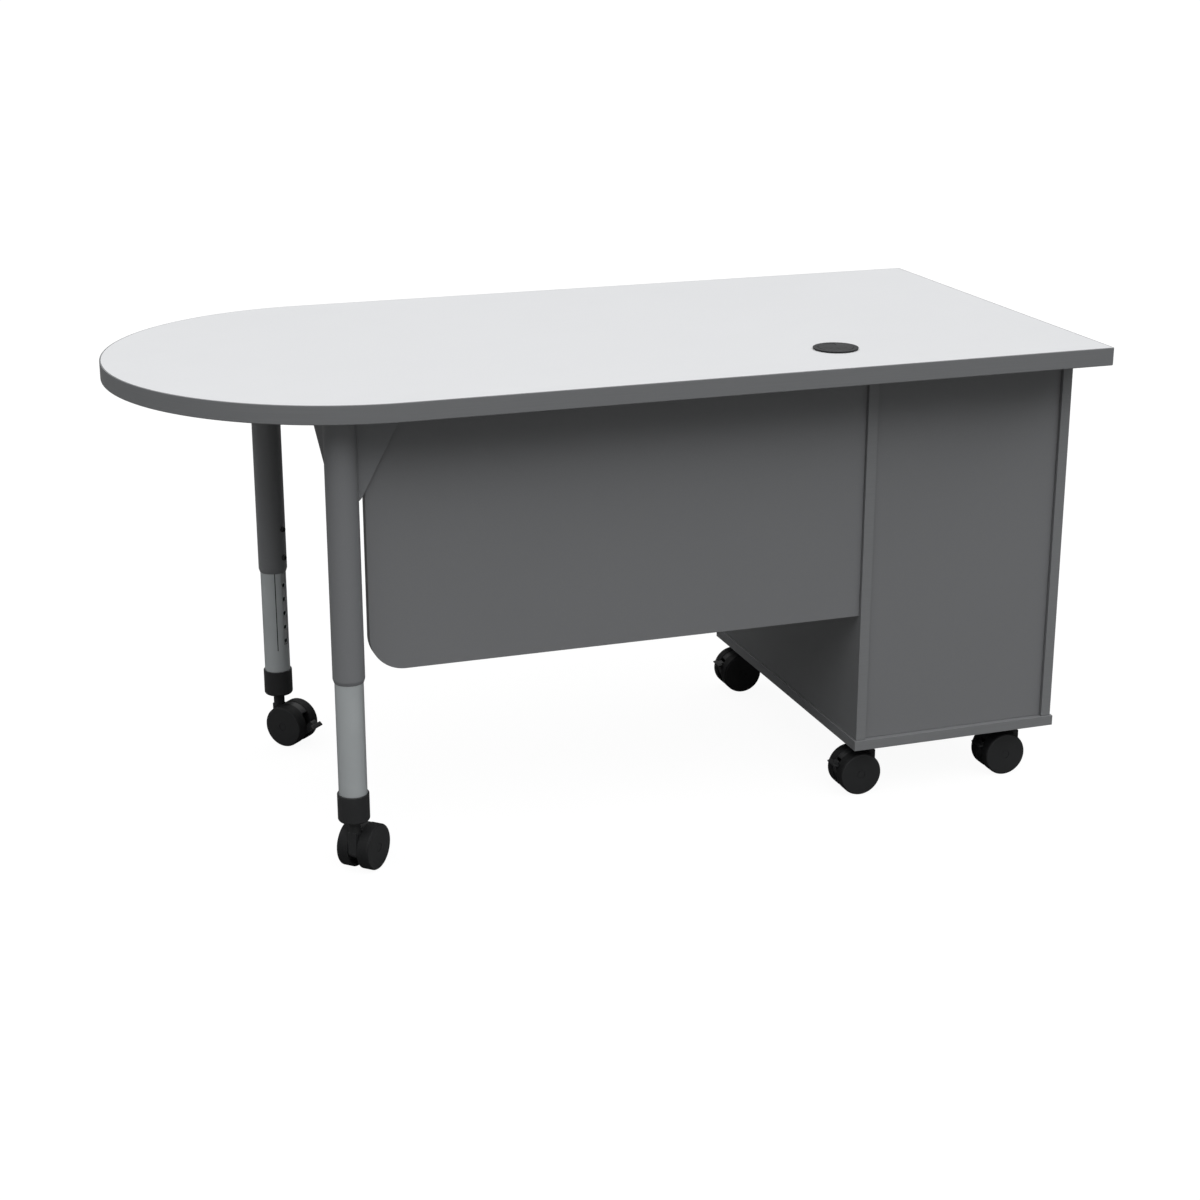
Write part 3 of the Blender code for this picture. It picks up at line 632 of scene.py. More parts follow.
def pan_head(radius, height, socket=True):
    """A screw's head, with its foot at the origin and its crown up +Z, and a cross or a hexagon in it."""
    profile = rounded([(0, height), (radius, height, height * 0.55), (radius, 0), (0, 0)], closed=False)
    head = turned(profile, 32)
    deep = height * 0.45
    if socket:
        key = prism(arc((0, 0), radius * 0.48, 0, 300, 5), deep, height + PAST)
        return carved(head, key)
    long, short = radius * 0.55, radius * 0.13
    cross = [box((-a, -b, deep), (a, b, height + PAST), 0) for a, b in ((long, short), (short, long))]
    return carved(head, *cross)


def weld_bead(path, radius):
    """A bead with the ripple that a welder's even steps leave."""
    return bar(path, radius, [1 + 0.16 * math.sin(index * 1.9) for index in range(len(path))])


def straight(start, end, count):
    """Evenly spaced points on a line, both ends included."""
    start, end = Vector(start), Vector(end)
    return [start.lerp(end, index / (count - 1)) for index in range(count)]


# ---------------------------------------------------------------- worktop


def top_outline(inset):
    """The worktop's plan moved in from its edge: a half circle at -X and slightly rounded corners at +X."""
    side = TOP_WIDTH / 2 - inset
    right = TOP_HIGH.x - inset
    corner = TOP_CORNER - inset
    end = arc((END_CENTRE_X, 0), side, 90, 270, END_STEPS)
    front = arc((right - corner, corner - side), corner, 270, 360, 6)
    rear = arc((right - corner, side - corner), corner, 0, 90, 6)
    return end + front + rear


def make_worktop():
    """A core with laminate above and a backing sheet below. The edge band goes round all of them."""
    sheet_foot, backing_top = DESK_HEIGHT - LAMINATE, UNDERSIDE + BACKING
    core = prism(top_outline(EDGE_BAND + GLUE_LINE), backing_top, sheet_foot)
    sheet = prism(top_outline(BAND_LIP + GLUE_LINE), sheet_foot, DESK_HEIGHT, 0.0002)
    backing = prism(top_outline(EDGE_BAND - 0.0002), UNDERSIDE + FLUSH, backing_top)
    layers = (
        ("core", core, (), (particle_board(),)),
        ("laminate", sheet, ["worktop"], None),
        ("backing", backing, (), (backer(),)),
    )
    for name, layer, nodes, finish in layers:
        bore = bore_at(GROMMET.x, GROMMET.y, GROMMET_HOLE, UNDERSIDE, DESK_HEIGHT, 96)
        piece(f"worktop_{name}", carved(layer, bore), "light_laminate", "desk", nodes, finish)

    section = [
        (EDGE_BAND, sheet_foot),
        (BAND_LIP, sheet_foot),
        (BAND_LIP, DESK_HEIGHT - FLUSH),
        (0, DESK_HEIGHT - FLUSH, 0.0010),
        (0, UNDERSIDE, 0.0016),
        (EDGE_BAND, UNDERSIDE),
    ]
    loops = [[(x, y, z) for x, y in top_outline(inset)] for inset, z in rounded(section)]
    piece("worktop_edge_band", lofted(loops), "grey_edge", "desk", ["edge_band"])


def make_grommet():
    """A liner with a low flange, and a cap in it that turns to open or close its cable notch."""
    seat = CAP_RADIUS + GAP
    liner = rounded(
        [
            (seat, GROMMET_RISE, 0.0004),
            (GROMMET_FLANGE - 0.0003, GROMMET_RISE, 0.0005),
            (GROMMET_FLANGE, GROMMET_RISE * 0.75),
            (GROMMET_FLANGE - 0.0010, GAP * 0.5),
            (SLEEVE_OUTER, GAP * 0.5),
            (SLEEVE_OUTER, -SLEEVE_DEPTH, 0.0005),
            (SLEEVE_INNER, -SLEEVE_DEPTH, 0.0005),
            (SLEEVE_INNER, CAP_LEDGE),
            (seat, CAP_LEDGE),
        ]
    )
    place = (GROMMET.x, GROMMET.y, DESK_HEIGHT)
    finish = (GROMMET_PLASTIC, TREAD_AND_SHADE)
    # Faces that do not face upwards get the near-black finish: painted shade on the flange's rim and
    # underside.
    flange = painted(turned(liner, 96, closed=True), 1, lambda face: face.normal.z < 0.6)
    piece("grommet_flange", placed(flange, place), "black_plastic", "desk", ["grommet_liner"], finish)
    cap = placed(grommet_cap(), place)
    piece("grommet_turning_cap", cap, "black_plastic", "grommet_cap", ["grommet_cap"], finish)


def grommet_cap():
    """A cap with a dished middle, three ribs to turn it by, and a cable notch that a thin shutter closes."""
    crown = GROMMET_RISE + 0.0004
    dish = crown - 0.0006
    foot = CAP_LEDGE + GAP
    groove, slope = 0.0205, 0.0012
    profile = [(0, dish), (groove - slope, dish), (groove, dish + 0.0004), (groove + slope, crown)]
    profile += rounded([(0, crown), (CAP_RADIUS, crown, 0.0009), (CAP_RADIUS, foot), (0, foot)])[1:]
    mouth = NOTCH_CENTRE + CAP_RADIUS
    notch = arc((0, NOTCH_CENTRE), NOTCH_RADIUS, 180, 360, 16)
    notch += [(NOTCH_RADIUS, mouth), (-NOTCH_RADIUS, mouth)]
    disc = carved(turned(profile, 96), prism(notch, -PAST, 2 * PAST))
    edge, top, bottom = CAP_RADIUS - 0.0004, dish - 0.0002, dish - 0.0014
    beyond = 2 * CAP_RADIUS
    hidden = box((-beyond, -beyond, -PAST), (beyond, NOTCH_CENTRE - NOTCH_RADIUS - 0.0005, PAST), 0)
    shutter = carved(turned([(0, top), (edge, top), (edge, bottom), (0, bottom)], 96), hidden)
    ribs = []
    for angle in (-150, -90, -30):
        rib = box((0.006, -0.0005, dish - 0.0002), (0.017, 0.0005, dish + 0.0003), 0.0002)
        ribs.append(placed(rib, turn(math.radians(angle), "Z")))
    return merged(disc, shutter, *ribs)


# ---------------------------------------------------------------- panels


def make_modesty_panel():
    """A board with one round lower corner, hung from three brackets."""
    low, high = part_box("modesty_panel")
    outline = arc((low.x + PANEL_CORNER, low.z + PANEL_CORNER), PANEL_CORNER, 180, 270, 28)
    outline += [(high.x, low.z), (high.x, high.z), (low.x, high.z)]
    board = banded(prism(outline, -high.y, -low.y, SOFT_EDGE), 2)
    piece("modesty_board", placed(board, turn(QUARTER, "X")), "grey_laminate", "desk", ["modesty_panel"])
    for index, x in enumerate(BRACKET_PLACES):
        make_bracket(f"modesty_bracket_{index}", x, high.y)


def make_bracket(name, x, panel_back):
    """A bent steel angle that holds the panel under the worktop, with two screws each way."""
    half, reach, gauge, bend = 0.020, 0.026, 0.0016, 0.003
    inner = bend - gauge
    section = [(0, 0, bend), (reach, 0), (reach, gauge), (gauge, gauge, inner), (gauge, reach), (0, reach)]
    angle = prism(rounded(section), -half, half, 0.0003)
    parts = [placed(angle, turn(QUARTER, "X"), turn(QUARTER, "Z"), Matrix.Diagonal((1, 1, -1, 1)))]
    out, over = reach * 0.62, Matrix.Diagonal((1, -1, -1, 1))
    for side in (-0.011, 0.011):
        parts.append(placed(pan_head(0.0038, 0.0022, False), (side, -out, gauge), over))
        parts.append(placed(pan_head(0.0038, 0.0022, False), turn(QUARTER, "X"), (side, -gauge, out), over))
    piece(name, placed(merged(*parts), (x, panel_back + GAP, UNDERSIDE - GAP)), "zinc_steel", "desk")


def make_pedestal():
    """The carcase's boards, the base drilled for the stems and the top cut for the lock's cam."""
    for node, thin in PEDESTAL_BOARDS.items():
        low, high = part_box(node)
        board = banded(box(low, high), thin)
        if node == "pedestal_base":
            stems = [JOINTS[f"{name}_swivel"]["pos_m"] for name in CASTERS if name.startswith("pedestal")]
            board = carved(board, *[bore_at(x, y, STEM_RADIUS + GAP, low.z, high.z) for x, y, _ in stems])
        if node == "pedestal_top":
            x, _, z = JOINTS["lock_turn"]["pos_m"]
            slot_low = (x - CAM_REACH - 0.004, CAM_BACK - CAM_ROOM, low.z - PAST)
            slot_high = (x + CAM_HALF_WIDTH + 0.002, CAM_FACE + CAM_ROOM, z + CAM_REACH + 0.002)
            board = carved(board, box(slot_low, slot_high, 0))
        piece(f"{node}_board", board, "grey_laminate", "desk", [node])


# ---------------------------------------------------------------- drawers


def make_drawer_front(name):
    """A drawer's front board. The top one is bored for the lock."""
    low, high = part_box(f"{name}_drawer_front")
    board = banded(box(low, high, 0.0009, 3), 1)
    if name == "top":
        x, _, z = JOINTS["lock_turn"]["pos_m"]
        bore = rod(LOCK_BORE, -5 * PAST, 5 * PAST, 48)
        board = carved(board, placed(bore, turn(QUARTER, "X"), (x, high.y, z)))
    piece(f"{name}_front_board", board, "grey_laminate", f"drawer_{name}", [f"{name}_drawer_front"])


def make_drawer_box(name):
    """Four walls with rounded upper edges, a floor set between them, and the screws that hold the front."""
    low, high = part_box(f"{name}_drawer_box")
    left, right = low.x + WALL + WALL_SEAM, high.x - WALL - WALL_SEAM
    near, far = low.y + WALL, high.y - WALL
    walls = [
        box(low, (low.x + WALL, high.y, high.z), 0.0012, 3),
        box((high.x - WALL, low.y, low.z), high, 0.0012, 3),
        box((left, low.y, low.z), (right, near, high.z), 0.0012, 3),
        box((left, far, low.z), (right, high.y, high.z), 0.0012, 3),
        box((left, near + WALL_SEAM, low.z), (right, far - WALL_SEAM, low.z + FLOOR), 0.0002),
    ]
    piece(f"{name}_box_boards", merged(*walls), "drawer_board", f"drawer_{name}", [f"{name}_drawer_box"])
    middle, height = (low.x + high.x) / 2, (low.z + high.z) / 2
    heads = [
        placed(pan_head(0.0042, 0.0024, False), turn(QUARTER, "X"), (middle + side, far, height))
        for side in (-0.048, -0.110, 0.048, 0.110)
    ]
    piece(f"{name}_front_screws", merged(*heads), "zinc_steel", f"drawer_{name}")


def make_pull(name):
    """A bent round bar on two feet."""
    low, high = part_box(f"{name}_drawer_pull")
    middle, height = (low.x + high.x) / 2, (low.z + high.z) / 2
    half = (high.x - low.x) / 2 - PULL_RADIUS
    bend = high.y - low.y - PULL_RADIUS - PULL_BEND
    path = [(-half, 0.0004)] + arc((PULL_BEND - half, bend), PULL_BEND, 180, 90, 12)
    path += arc((half - PULL_BEND, bend), PULL_BEND, 90, 0, 12) + [(half, 0.0004)]
    handle = bar([(x, y, 0) for x, y in path], PULL_RADIUS)
    foot = rounded([(0, 0.0016), (0.0058, 0.0016, 0.0008), (0.0058, 0), (0, 0)], closed=False)
    feet = [placed(turned(foot, 32), turn(-QUARTER, "X"), (side, 0, 0)) for side in (-half, half)]
    whole = placed(merged(handle, *feet), (middle, low.y, height))
    piece(f"{name}_pull_bar", whole, "zinc_steel", f"drawer_{name}", [f"{name}_drawer_pull"])


def channel(depth, height, length):
    """A rolled C channel along Y that opens towards +X, about the middle of its web's outer face."""
    gauge, half = RAIL_GAUGE, height / 2
    inner = RAIL_BEND - gauge
    section = [
        (0, -half, RAIL_BEND),
        (depth, -half),
        (depth, gauge - half),
        (gauge, gauge - half, inner),
        (gauge, half - gauge, inner),
        (depth, half - gauge),
        (depth, half),
        (0, half, RAIL_BEND),
    ]
    return placed(prism(rounded(section), -length / 2, length / 2), turn(QUARTER, "X"))


def make_rail(node, body, opens):
    """One member of a slide, with its screws and, at its inner end, a plastic stop."""
    low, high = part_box(node)
    depth, length = high.x - low.x, high.y - low.y
    member = channel(depth, high.z - low.z, length)
    screws = [
        placed(pan_head(0.0036, 0.0016, False), turn(QUARTER, "Y"), (RAIL_GAUGE, along, 0))
        for along in (-length * 0.42, -0.02, length * 0.40)
    ]
    end = -length / 2
    stop = box((RAIL_GAUGE, end + 0.001, -0.006), (depth - 0.001, end + 0.010, 0.006), 0.0008)
    whole = merged(member, painted(stop, 1, lambda face: True), *screws)
    if opens < 0:
        whole = placed(whole, turn(math.pi, "Z"))
    web = low.x if opens > 0 else high.x
    whole = placed(whole, (web, (low.y + high.y) / 2, (low.z + high.z) / 2))
    piece(f"{node}_member", whole, "zinc_steel", body, [node])


def make_lock():
    """A cam lock: a barrel with a keyway in a bezel, and a cam held by a nut."""
    x, y, z = JOINTS["lock_turn"]["pos_m"]
    crown = LOCK_HIGH.y - y
    cam_back, cam_face = CAM_BACK - y, CAM_FACE - y
    profile = rounded(
        [
            (0, crown - 0.0005),
            (LOCK_BEZEL - 0.0035, crown - 0.0005),
            (LOCK_BEZEL - 0.0028, crown, 0.0002),
            (LOCK_BEZEL, crown, 0.0007),
            (LOCK_BEZEL, GAP),
            (LOCK_BARREL, GAP),
            (LOCK_BARREL, -0.018),
            (0.003, -0.018),
            (0.003, cam_back + 0.0003),
            (0, cam_back + 0.0003),
        ],
        closed=False,
    )
    keyway = box((-0.0006, -0.0034, crown - 0.004), (0.0006, 0.0034, crown + PAST), 0)
    core = carved(turned(profile, 48), keyway)
    # The faces in and round the keyway get the black finish: painted shade in the slot.
    core = painted(core, 1, lambda face: face.calc_center_median().length < 0.0037)
    core = placed(core, turn(-QUARTER, "X"))
    reach, half, tip = CAM_REACH, CAM_HALF_WIDTH, 0.0035
    outline = rounded([(-reach, -half, tip), (half, -half, tip), (half, half, tip), (-reach, half, tip)])
    cam = placed(prism(outline, -cam_face, -cam_back, 0.0003), turn(QUARTER, "X"))
    nut = prism(arc((0, 0), 0.0042, 0, 300, 5), -cam_face - 0.0016, -cam_face, 0.0003)
    nut = placed(nut, turn(QUARTER, "X"))
    whole = placed(merged(core, cam, nut), (x, y, z))
    piece("drawer_lock", whole, "zinc_steel", "lock", ["lock_cylinder"])


def make_drawers():
    for name in DRAWERS:
        make_drawer_front(name)
        make_drawer_box(name)
        make_pull(name)
        for side, opens in (("left", 1), ("right", -1)):
            make_rail(f"{name}_cabinet_rail_{side}", "desk", opens)
            make_rail(f"{name}_drawer_rail_{side}", f"drawer_{name}", -opens)
    make_lock()


# ---------------------------------------------------------------- legs


def leg_axis(end):
    """The leg's axis where it meets the worktop's underside."""
    low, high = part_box(f"leg_lower_{end}")
    return Vector(((low.x + high.x) / 2, (low.y + high.y) / 2, UNDERSIDE))


def radial(shape, side, height):
    """Turns a shape drawn along +Z so that it stands out from the leg's axis on its adjusting side."""
    return placed(shape, turn(QUARTER, "Y"), (0, 0, height), turn(side * SCREW_ANGLE, "Z"))


def make_wing(angle, side, hand):
    """A gusset plate and the flange bent from its upper edge, in the leg's own frame."""
    inner, thick = UPPER_TUBE_BORE + 0.001, PLATE / 2
    top, bend = -GAP, -GAP - PLATE
    reach, tip, wide = WING_REACH, WING_TIP, WING_FLANGE
    outline = [(inner, top), (reach, top, 0.002), (tip, -WING_DROP, 0.004), (inner, -WING_DROP - 0.005)]
    plate = placed(prism(rounded(outline), -thick, thick, 0.0005), turn(QUARTER, "X"))
    outline = [(inner, -thick), (reach, -thick, 0.002), (reach, wide, 0.007), (inner, wide)]
    flange = prism(rounded(outline), bend, top, 0.0005)
    fillet = bar(straight((inner, thick, bend), (reach - 0.002, thick, bend), 12), 0.0014)
    x, low, high = UPPER_TUBE_RADIUS - 0.0002, -WING_DROP - 0.001, top - 0.006
    welds = [weld_bead(straight((x, y, high), (x, y, low), 60), 0.0007) for y in (-thick, thick)]
    parts = [plate, flange, fillet, *welds]
    matrix = turn(side * angle, "Z")
    if hand < 0:
        matrix = matrix @ Matrix.Diagonal((1, -1, 1, 1))
    return placed(merged(*parts), matrix)


def flange_screws(angle, side, hand):
    """The heads of the screws that hold a wing's flange to the worktop."""
    heads = []
    for reach in WING_SCREWS:
        head = placed(pan_head(0.0046, 0.0026, False), turn(math.pi, "X"))
        heads.append(placed(head, (reach, hand * 0.0105, -GAP - PLATE), turn(side * angle, "Z")))
    return heads


def make_upper_leg(end, side):
    """The painted tube with its top plate and two gusset wings, welded, and the screws under its flanges."""
    axis = leg_axis(end)
    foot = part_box(f"leg_upper_{end}")[0].z - UNDERSIDE
    top = -GAP - 0.0005
    tube = rounded(
        [
            (UPPER_TUBE_BORE, top),
            (UPPER_TUBE_RADIUS, top),
            (UPPER_TUBE_RADIUS, foot + 0.0058, 0.004),
            (UPPER_TUBE_RADIUS - 0.0019, foot, 0.0006),
            (UPPER_TUBE_BORE, foot),
        ],
        steps=6,
    )
    body = turned(tube, 96, closed=True)
    depths = SCREW_HEIGHTS.values()
    bores = [radial(rod(SCREW_BORE, 0.018, 0.032, 24), side, TOP_THICKNESS - depth) for depth in depths]
    body = carved(body, *bores)
    foot = -GAP - PLATE
    disc = [(0, -GAP), (PLATE_RADIUS, -GAP, 0.0006), (PLATE_RADIUS, foot, 0.0006), (0, foot)]
    disc = turned(rounded(disc, closed=False), 72)
    ring = [(x, y, foot) for x, y in arc((0, 0), UPPER_TUBE_RADIUS, 0, 360, 120)]
    parts = [body, disc, weld_bead(ring, 0.0020)]
    screws = []
    for index, angle in enumerate(WING_ANGLES):
        hand = side if index else -side
        parts.append(make_wing(angle, side, hand))
        screws += flange_screws(angle, side, hand)
    whole = placed(merged(*parts), axis)
    piece(f"leg_{end}_upper_tube", whole, "charcoal_paint", "desk", [f"leg_upper_{end}"])
    piece(f"leg_{end}_flange_screws", placed(merged(*screws), axis), "zinc_steel", "desk")


def make_set_screws(end, side):
    """The screws that clamp the lower tube, their heads standing on the upper one."""
    axis = leg_axis(end)
    for label, depth in SCREW_HEIGHTS.items():
        shank = rod(SCREW_RADIUS, 0.0223, 0.0256, 24)
        head = placed(pan_head(0.005, 0.0042), (0, 0, 0.0249))
        screw = placed(radial(merged(shank, head), side, TOP_THICKNESS - depth), axis)
        node = f"leg_screw_{label}_{end}"
        piece(f"leg_{end}_{label}_set_screw", screw, "zinc_steel", "desk", [node], (BLACK,))


def make_lower_leg(end, side):
    """The bright tube, with its rolled seam and a row of rimmed adjusting holes in a shallow channel."""
    axis = leg_axis(end)
    low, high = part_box(f"leg_lower_{end}")
    radius = (high.x - low.x) / 2
    bottom, top = low.z - UNDERSIDE, high.z - UNDERSIDE
    lowest = TOP_THICKNESS - LOWEST_HOLE
    inner, floor, rim = LOWER_TUBE_BORE, radius - CHANNEL_DEPTH, 0.0005
    wall = [(inner, top, rim), (radius, top, rim), (radius, bottom, rim), (inner, bottom, rim)]
    body = turned(rounded(wall), 120, closed=True)
    holes, rims = [], []
    for index in range(HOLE_COUNT):
        height = lowest + HOLE_PITCH * index
        holes.append(radial(rod(HOLE_RADIUS, 0.012, 0.030, 32), side, height))
        section = arc((HOLE_RADIUS + 0.0006, floor), 0.0008, 0, 324, 9)
        rims.append(radial(turned(section, 32, closed=True), side, height))
    seam = groove_cutter(radius - SEAM_DEPTH, radius, SEAM_WIDTH / 2, lowest - SEAM_FOOT, top)
    channel = groove_cutter(floor, radius, CHANNEL_HALF, lowest - CHANNEL_FOOT, top)
    seam = placed(seam, turn(side * SEAM_ANGLE, "Z"))
    channel = placed(channel, turn(side * SCREW_ANGLE, "Z"))
    body = carved(body, seam, channel, *holes)
    out = Vector((math.cos(side * SCREW_ANGLE), math.sin(side * SCREW_ANGLE), 0))
    # Faces inside the wall (the hole walls, the seam groove and the channel) get the near-black finish as
    # painted shade. The channel's floor then gets a flat grey, painted shade in the recess.
    cut = (inner + 0.0002, radius - 0.0001)
    body = painted(body, 2, lambda face: cut[0] < face.calc_center_median().xy.length < cut[1])
    body = painted(body, 1, lambda face: face.normal.dot(out) > 0.99 and on_plane(face, out, floor))
    whole = placed(merged(body, *rims), axis)
    piece(f"leg_{end}_lower_tube", whole, "bright_steel", f"leg_{end}", [f"leg_lower_{end}"])


def groove_cutter(floor, surface, half, foot, top):
    """A block that cuts a groove along a tube's +X side, from its foot to past the tube's top."""
    return box((floor, -half, foot), (surface + 0.001, half, top + PAST), 0)


def on_plane(face, direction, distance):
    return abs(face.calc_center_median().dot(direction) - distance) < WELD


def make_cup(end):
    """The plastic foot on the lower tube, with a boss inside that holds the caster's stem."""
    axis = leg_axis(end)
    low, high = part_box(f"leg_cup_{end}")
    radius = (high.x - low.x) / 2
    top, bottom = high.z - UNDERSIDE, low.z - UNDERSIDE
    floor, boss_top = bottom + 0.0083, bottom + 0.038
    profile = [
        (CUP_WALL, top, 0.0003),
        (radius, top, 0.0012),
        (radius, bottom, 0.0048),
        (CUP_BORE, bottom, 0.0005),
        (CUP_BORE, boss_top),
        (CUP_BOSS, boss_top),
        (CUP_BOSS, floor),
        (CUP_WALL, floor),
    ]
    shape = turned(rounded(profile, steps=7), 96, closed=True)
    piece(f"leg_{end}_cup", placed(shape, axis), "black_plastic", f"leg_{end}", [f"leg_cup_{end}"])


def make_legs():
    for end, side in (("front", 1), ("rear", -1)):
        make_upper_leg(end, side)
        make_set_screws(end, side)
        make_lower_leg(end, side)
        make_cup(end)


# ---------------------------------------------------------------- casters

CASTERS = [name[: -len("_swivel")] for name in JOINTS if name.endswith("_swivel")]


def caster_matrix(name):
    """From a caster's own frame, which has its origin under the stem and X along the trail, to the desk's."""
    ground = Vector(JOINTS[f"{name}_swivel"]["pos_m"])
    axle = Vector(JOINTS[f"{name}_wheel_spin"]["pos_m"])
    trail = axle - ground
    return Matrix.Translation((ground.x, ground.y, 0)) @ turn(math.atan2(trail.y, trail.x), "Z")


def hood_outline():
    """The hood's side view about the axle: round over the top, square under the neck, open at the lever."""
    near, far = NECK_RADIUS - TRAIL, -NECK_RADIUS - TRAIL + 0.0002
    meets_neck = math.degrees(math.acos(near / HOOD_RADIUS))
    rest = [
        (near, HOOD_SHOULDER),
        (far, HOOD_SHOULDER, 0.0015),
        (far, -0.004, 0.004),
        (-0.030, -0.010, 0.004),
        (-0.008, -0.013, 0.004),
        (0.008, -0.013, 0.004),
        (0.018, -0.008, 0.003),
        (0.018, 0.014, 0.002),
    ]
    return rounded(arc((0, 0), HOOD_RADIUS, 40, meets_neck, 28) + rest, steps=4)


def make_caster_body(name, matrix):
    """The stem in the neck, and the hood that fills the space between the wheels."""
    _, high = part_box(f"{name}_caster_body")
    holder = "pedestal_base" if name.startswith("pedestal") else name.replace("leg_", "leg_cup_")
    neck_top, neck_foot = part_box(holder)[0].z - 0.0004, WHEEL_RADIUS + NECK_FOOT - 0.004
    neck = [
        (0, high.z),
        (STEM_RADIUS, high.z, 0.0012),
        (STEM_RADIUS, neck_top),
        (NECK_RADIUS, neck_top, 0.0010),
        (NECK_RADIUS, neck_foot),
        (0, neck_foot),
    ]
    stem = turned(rounded(neck, closed=False), 48)
    hood = prism(hood_outline(), -HOOD_THICKNESS / 2, HOOD_THICKNESS / 2, 0.0009, 3)
    hood = placed(hood, turn(QUARTER, "X"), (TRAIL, 0, WHEEL_RADIUS))
    bore = rod(PIN_BORE, -2 * PAST, 2 * PAST, 32)
    hood = carved(hood, placed(bore, turn(QUARTER, "X"), (TRAIL, 0, WHEEL_RADIUS)))
    whole = placed(merged(stem, hood), matrix)
    piece(f"{name}_hood", whole, "black_plastic", f"swivel_{name}", [f"{name}_caster_body"])


def make_wheels(name, matrix):
    """Two plain wheels with rounded shoulders, a shallow ring round each hub, and the axle between them."""
    outer, inner, web = WHEELS_WIDTH / 2, WHEELS_SPACE / 2, WHEELS_SPACE / 2 + WEB_INSET
    ring = HUB_RADIUS + HUB_GROOVE
    wheel = rounded(
        [
            (0, outer - 0.0004),
            (HUB_RADIUS, outer - 0.0004),
            (HUB_RADIUS, outer - 0.0008),
            (ring, outer - 0.0008),
            (ring, outer, 0.0002),
            (WHEEL_RADIUS, outer, 0.0036),
            (WHEEL_RADIUS, inner, 0.0008),
            (WHEEL_RADIUS - 0.0045, inner),
            (WHEEL_RADIUS - 0.0055, web, 0.0006),
            (0.0085, web, 0.0006),
            (0.0075, inner, 0.0004),
            (0.003, inner),
            (0.003, 0),
        ],
        steps=6,
        closed=False,
    )
    wheels = []
    for mirror in (1, -1):
        # The tread and the rounded shoulders get the darker tread finish. On the shoulders it is painted
        # shade that hides their lit rim.
        one = painted(turned(wheel, 96), 1, lambda face: abs(face.normal.z) < 0.8)
        wheels.append(placed(one, Matrix.Diagonal((1, 1, mirror, 1))))
    whole = placed(merged(*wheels), turn(QUARTER, "X"), (TRAIL, 0, WHEEL_RADIUS), matrix)
    node = f"{name}_caster_wheels"
    piece(f"{name}_wheel_pair", whole, "black_plastic", f"wheels_{name}", [node], (BLACK, TREAD_AND_SHADE))


def make_lever(name, matrix):
    """The brake lever: a barrel on its pin, an arm between the wheels and a wide ribbed paddle."""
    x, z = LEVER_PIVOT
    half, wide = LEVER_WIDTH / 2, PADDLE_WIDTH / 2
    barrel = arc(LEVER_PIVOT, 0.003, 90, 270, 12)
    lower = [(0.0290, -0.0140), (0.0350, -0.0010, 0.010), (0.0370, 0.0125)]
    upper = [(0.0400, 0.0160), (0.0300, 0.0190, 0.002), (0.0270, 0.0165, 0.002)]
    arm = prism(rounded(barrel + lower + upper, steps=4), -half, half, 0.0007)
    inner_top, outer_top = Vector((0.0350, 0.0176)), Vector((0.0430, 0.0160))
    pad = [(0.0358, 0.0128, 0.0008), (0.0432, 0.0136, 0.0008), (*outer_top, 0.0010), (*inner_top, 0.0010)]
    paddle = prism(rounded(pad, steps=4), -wide, wide, 0.0006)
    ribs = []
    for along in (0.30, 0.52, 0.74):
        spot = inner_top.lerp(outer_top, along)
        ribs.append(bar([(*spot, 0.002 - wide), (*spot, wide - 0.002)], 0.0004))
    pressed = LEVER_SWING if name.startswith("leg") else 0.0
    shape = placed(merged(arm, paddle, *ribs), (-x, -z, 0), turn(QUARTER, "X"), turn(pressed, "Y"))
    whole = placed(shape, (TRAIL + x, 0, WHEEL_RADIUS + z), matrix)
    piece(f"{name}_brake_paddle", whole, "black_plastic", f"brake_{name}", [f"{name}_brake_lever"])


def make_casters():
    for name in CASTERS:
        matrix = caster_matrix(name)
        make_caster_body(name, matrix)
        make_wheels(name, matrix)
        make_lever(name, matrix)


# ---------------------------------------------------------------- stage


def camera_ray(tree):
    return add_node(tree, "LightPath").outputs["Is Camera Ray"]


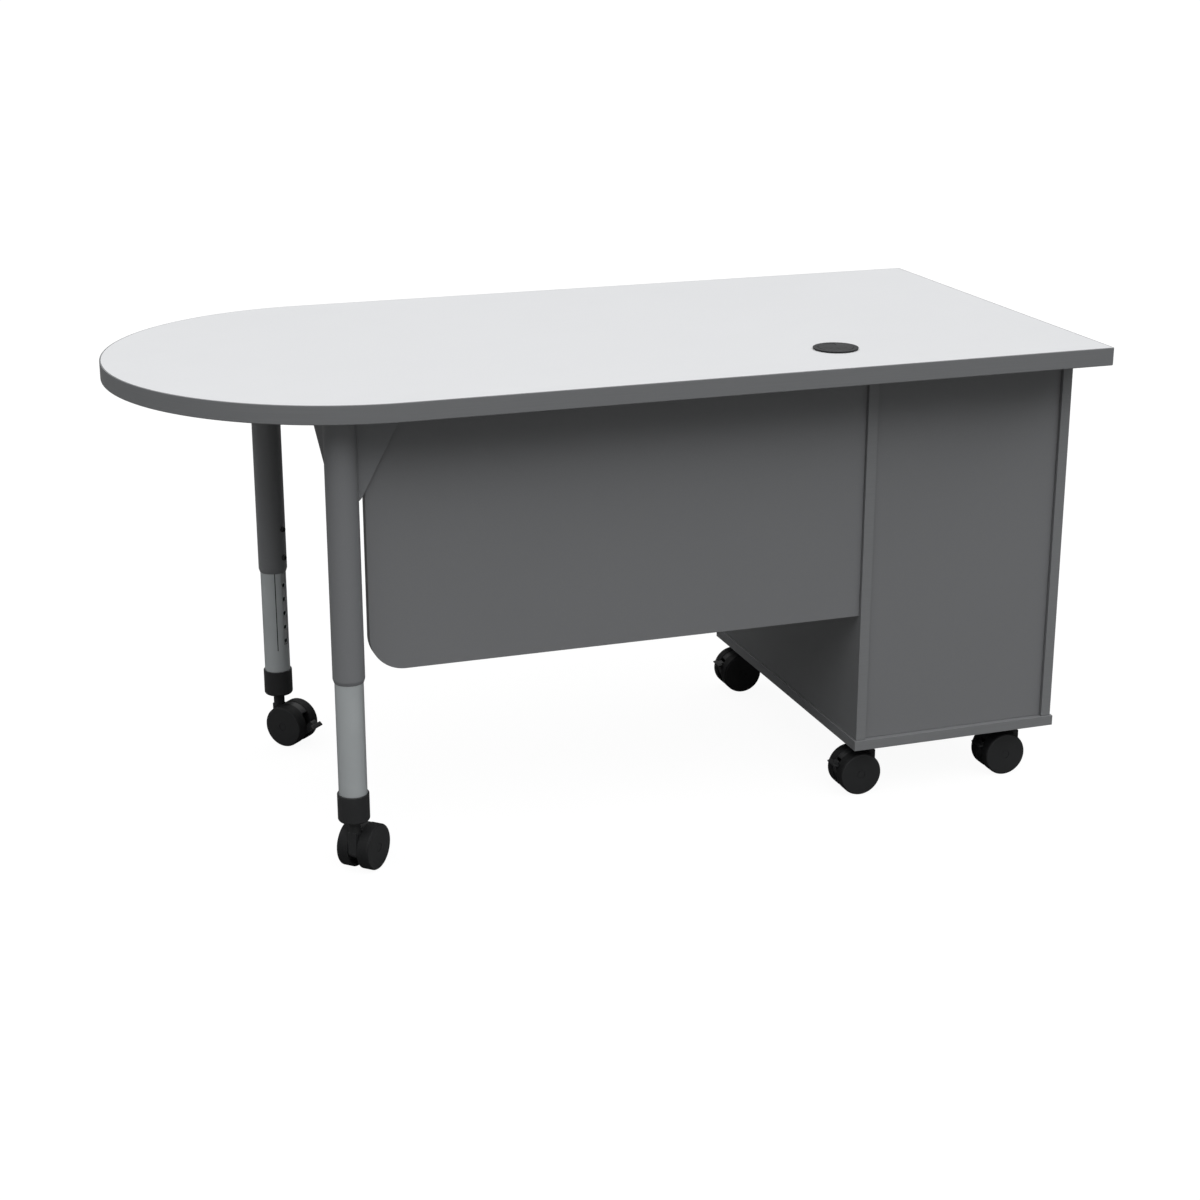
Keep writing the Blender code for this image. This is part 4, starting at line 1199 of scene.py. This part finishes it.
def make_world():
    """A white backdrop, and the light of an overhead dome that is brighter on the visitor's side."""
    world = bpy.data.worlds.new("studio")
    world.use_nodes = True
    bpy.context.scene.world = world
    tree = world.node_tree
    direction = add_node(tree, "TexCoord").outputs["Generated"]
    height = add_node(tree, "SeparateXYZ", {0: direction}).outputs["Z"]
    rise = {"Value": height, "From Min": SKY_RISE[0], "From Max": SKY_RISE[1]}
    rise.update({"To Min": SKY_LOW, "To Max": SKY_HIGH})
    dome = add_node(tree, "MapRange", rise, interpolation_type="SMOOTHSTEP").outputs[0]
    facing = add_node(tree, "VectorMath", {0: direction, 1: FRONT}, operation="DOT_PRODUCT").outputs["Value"]
    ahead = add_node(tree, "Math", {0: facing, 1: 0.0}, operation="MAXIMUM").outputs[0]
    lobe = add_node(tree, "Math", {0: ahead, 1: FRONT_FOCUS}, operation="POWER").outputs[0]
    gain = add_node(tree, "Math", {0: lobe, 1: FRONT_GAIN, 2: 1.0}, operation="MULTIPLY_ADD").outputs[0]
    light = add_node(tree, "Math", {0: dome, 1: gain}, operation="MULTIPLY").outputs[0]
    shown = add_node(tree, "Mix", {0: camera_ray(tree), 2: light, 3: BACKDROP}, data_type="FLOAT").outputs[0]
    tree.links.new(shown, tree.nodes["Background"].inputs["Strength"])
    tree.nodes["Background"].inputs["Color"].default_value = (1, 1, 1, 1)


def make_floor():
    """A pale floor. The camera sees it nearly white, and it throws back only a little light."""
    shape = bmesh.new()
    bmesh.ops.create_grid(shape, x_segments=1, y_segments=1, size=FLOOR_SIZE / 2)
    mesh = bpy.data.meshes.new("floor")
    shape.to_mesh(mesh)
    shape.free()
    floor = bpy.data.objects.new("floor", mesh)
    floor.location.z = -FLOOR_DROP
    bpy.context.scene.collection.objects.link(floor)
    made, tree, shader, _ = new_material("floor")
    connect(tree, shader, base_color=(FLOOR_BOUNCE, FLOOR_BOUNCE, FLOOR_BOUNCE, 1), roughness=0.9)
    shader.inputs["Specular IOR Level"].default_value = 0.1
    glow = add_node(tree, "Emission", {"Strength": BACKDROP}).outputs[0]
    soft = add_node(tree, "BsdfDiffuse", {"Color": (0.9, 0.9, 0.9, 1)}).outputs[0]
    seen = add_node(tree, "MixShader", {0: FLOOR_SHADOW, 1: glow, 2: soft}).outputs[0]
    both = add_node(tree, "MixShader", {0: camera_ray(tree), 1: shader.outputs[0], 2: seen}).outputs[0]
    tree.links.new(both, tree.nodes["Material Output"].inputs["Surface"])
    mesh.materials.append(made)


def make_camera():
    data = bpy.data.cameras.new("camera")
    data.lens = CAMERA_LENS
    data.sensor_width = CAMERA_SENSOR
    camera = bpy.data.objects.new("camera", data)
    camera.location = Vector(CAMERA_PLACE) + Vector((0, 0, DESK_HEIGHT))
    camera.rotation_euler = (QUARTER - CAMERA_DOWN, 0, CAMERA_AZIMUTH)
    bpy.context.scene.collection.objects.link(camera)
    bpy.context.scene.camera = camera


def main():
    make_camera()
    make_world()
    make_floor()
    make_worktop()
    make_grommet()
    make_modesty_panel()
    make_pedestal()
    make_drawers()
    make_legs()
    make_casters()
    bpy.context.scene.view_settings.view_transform = "Standard"


main()
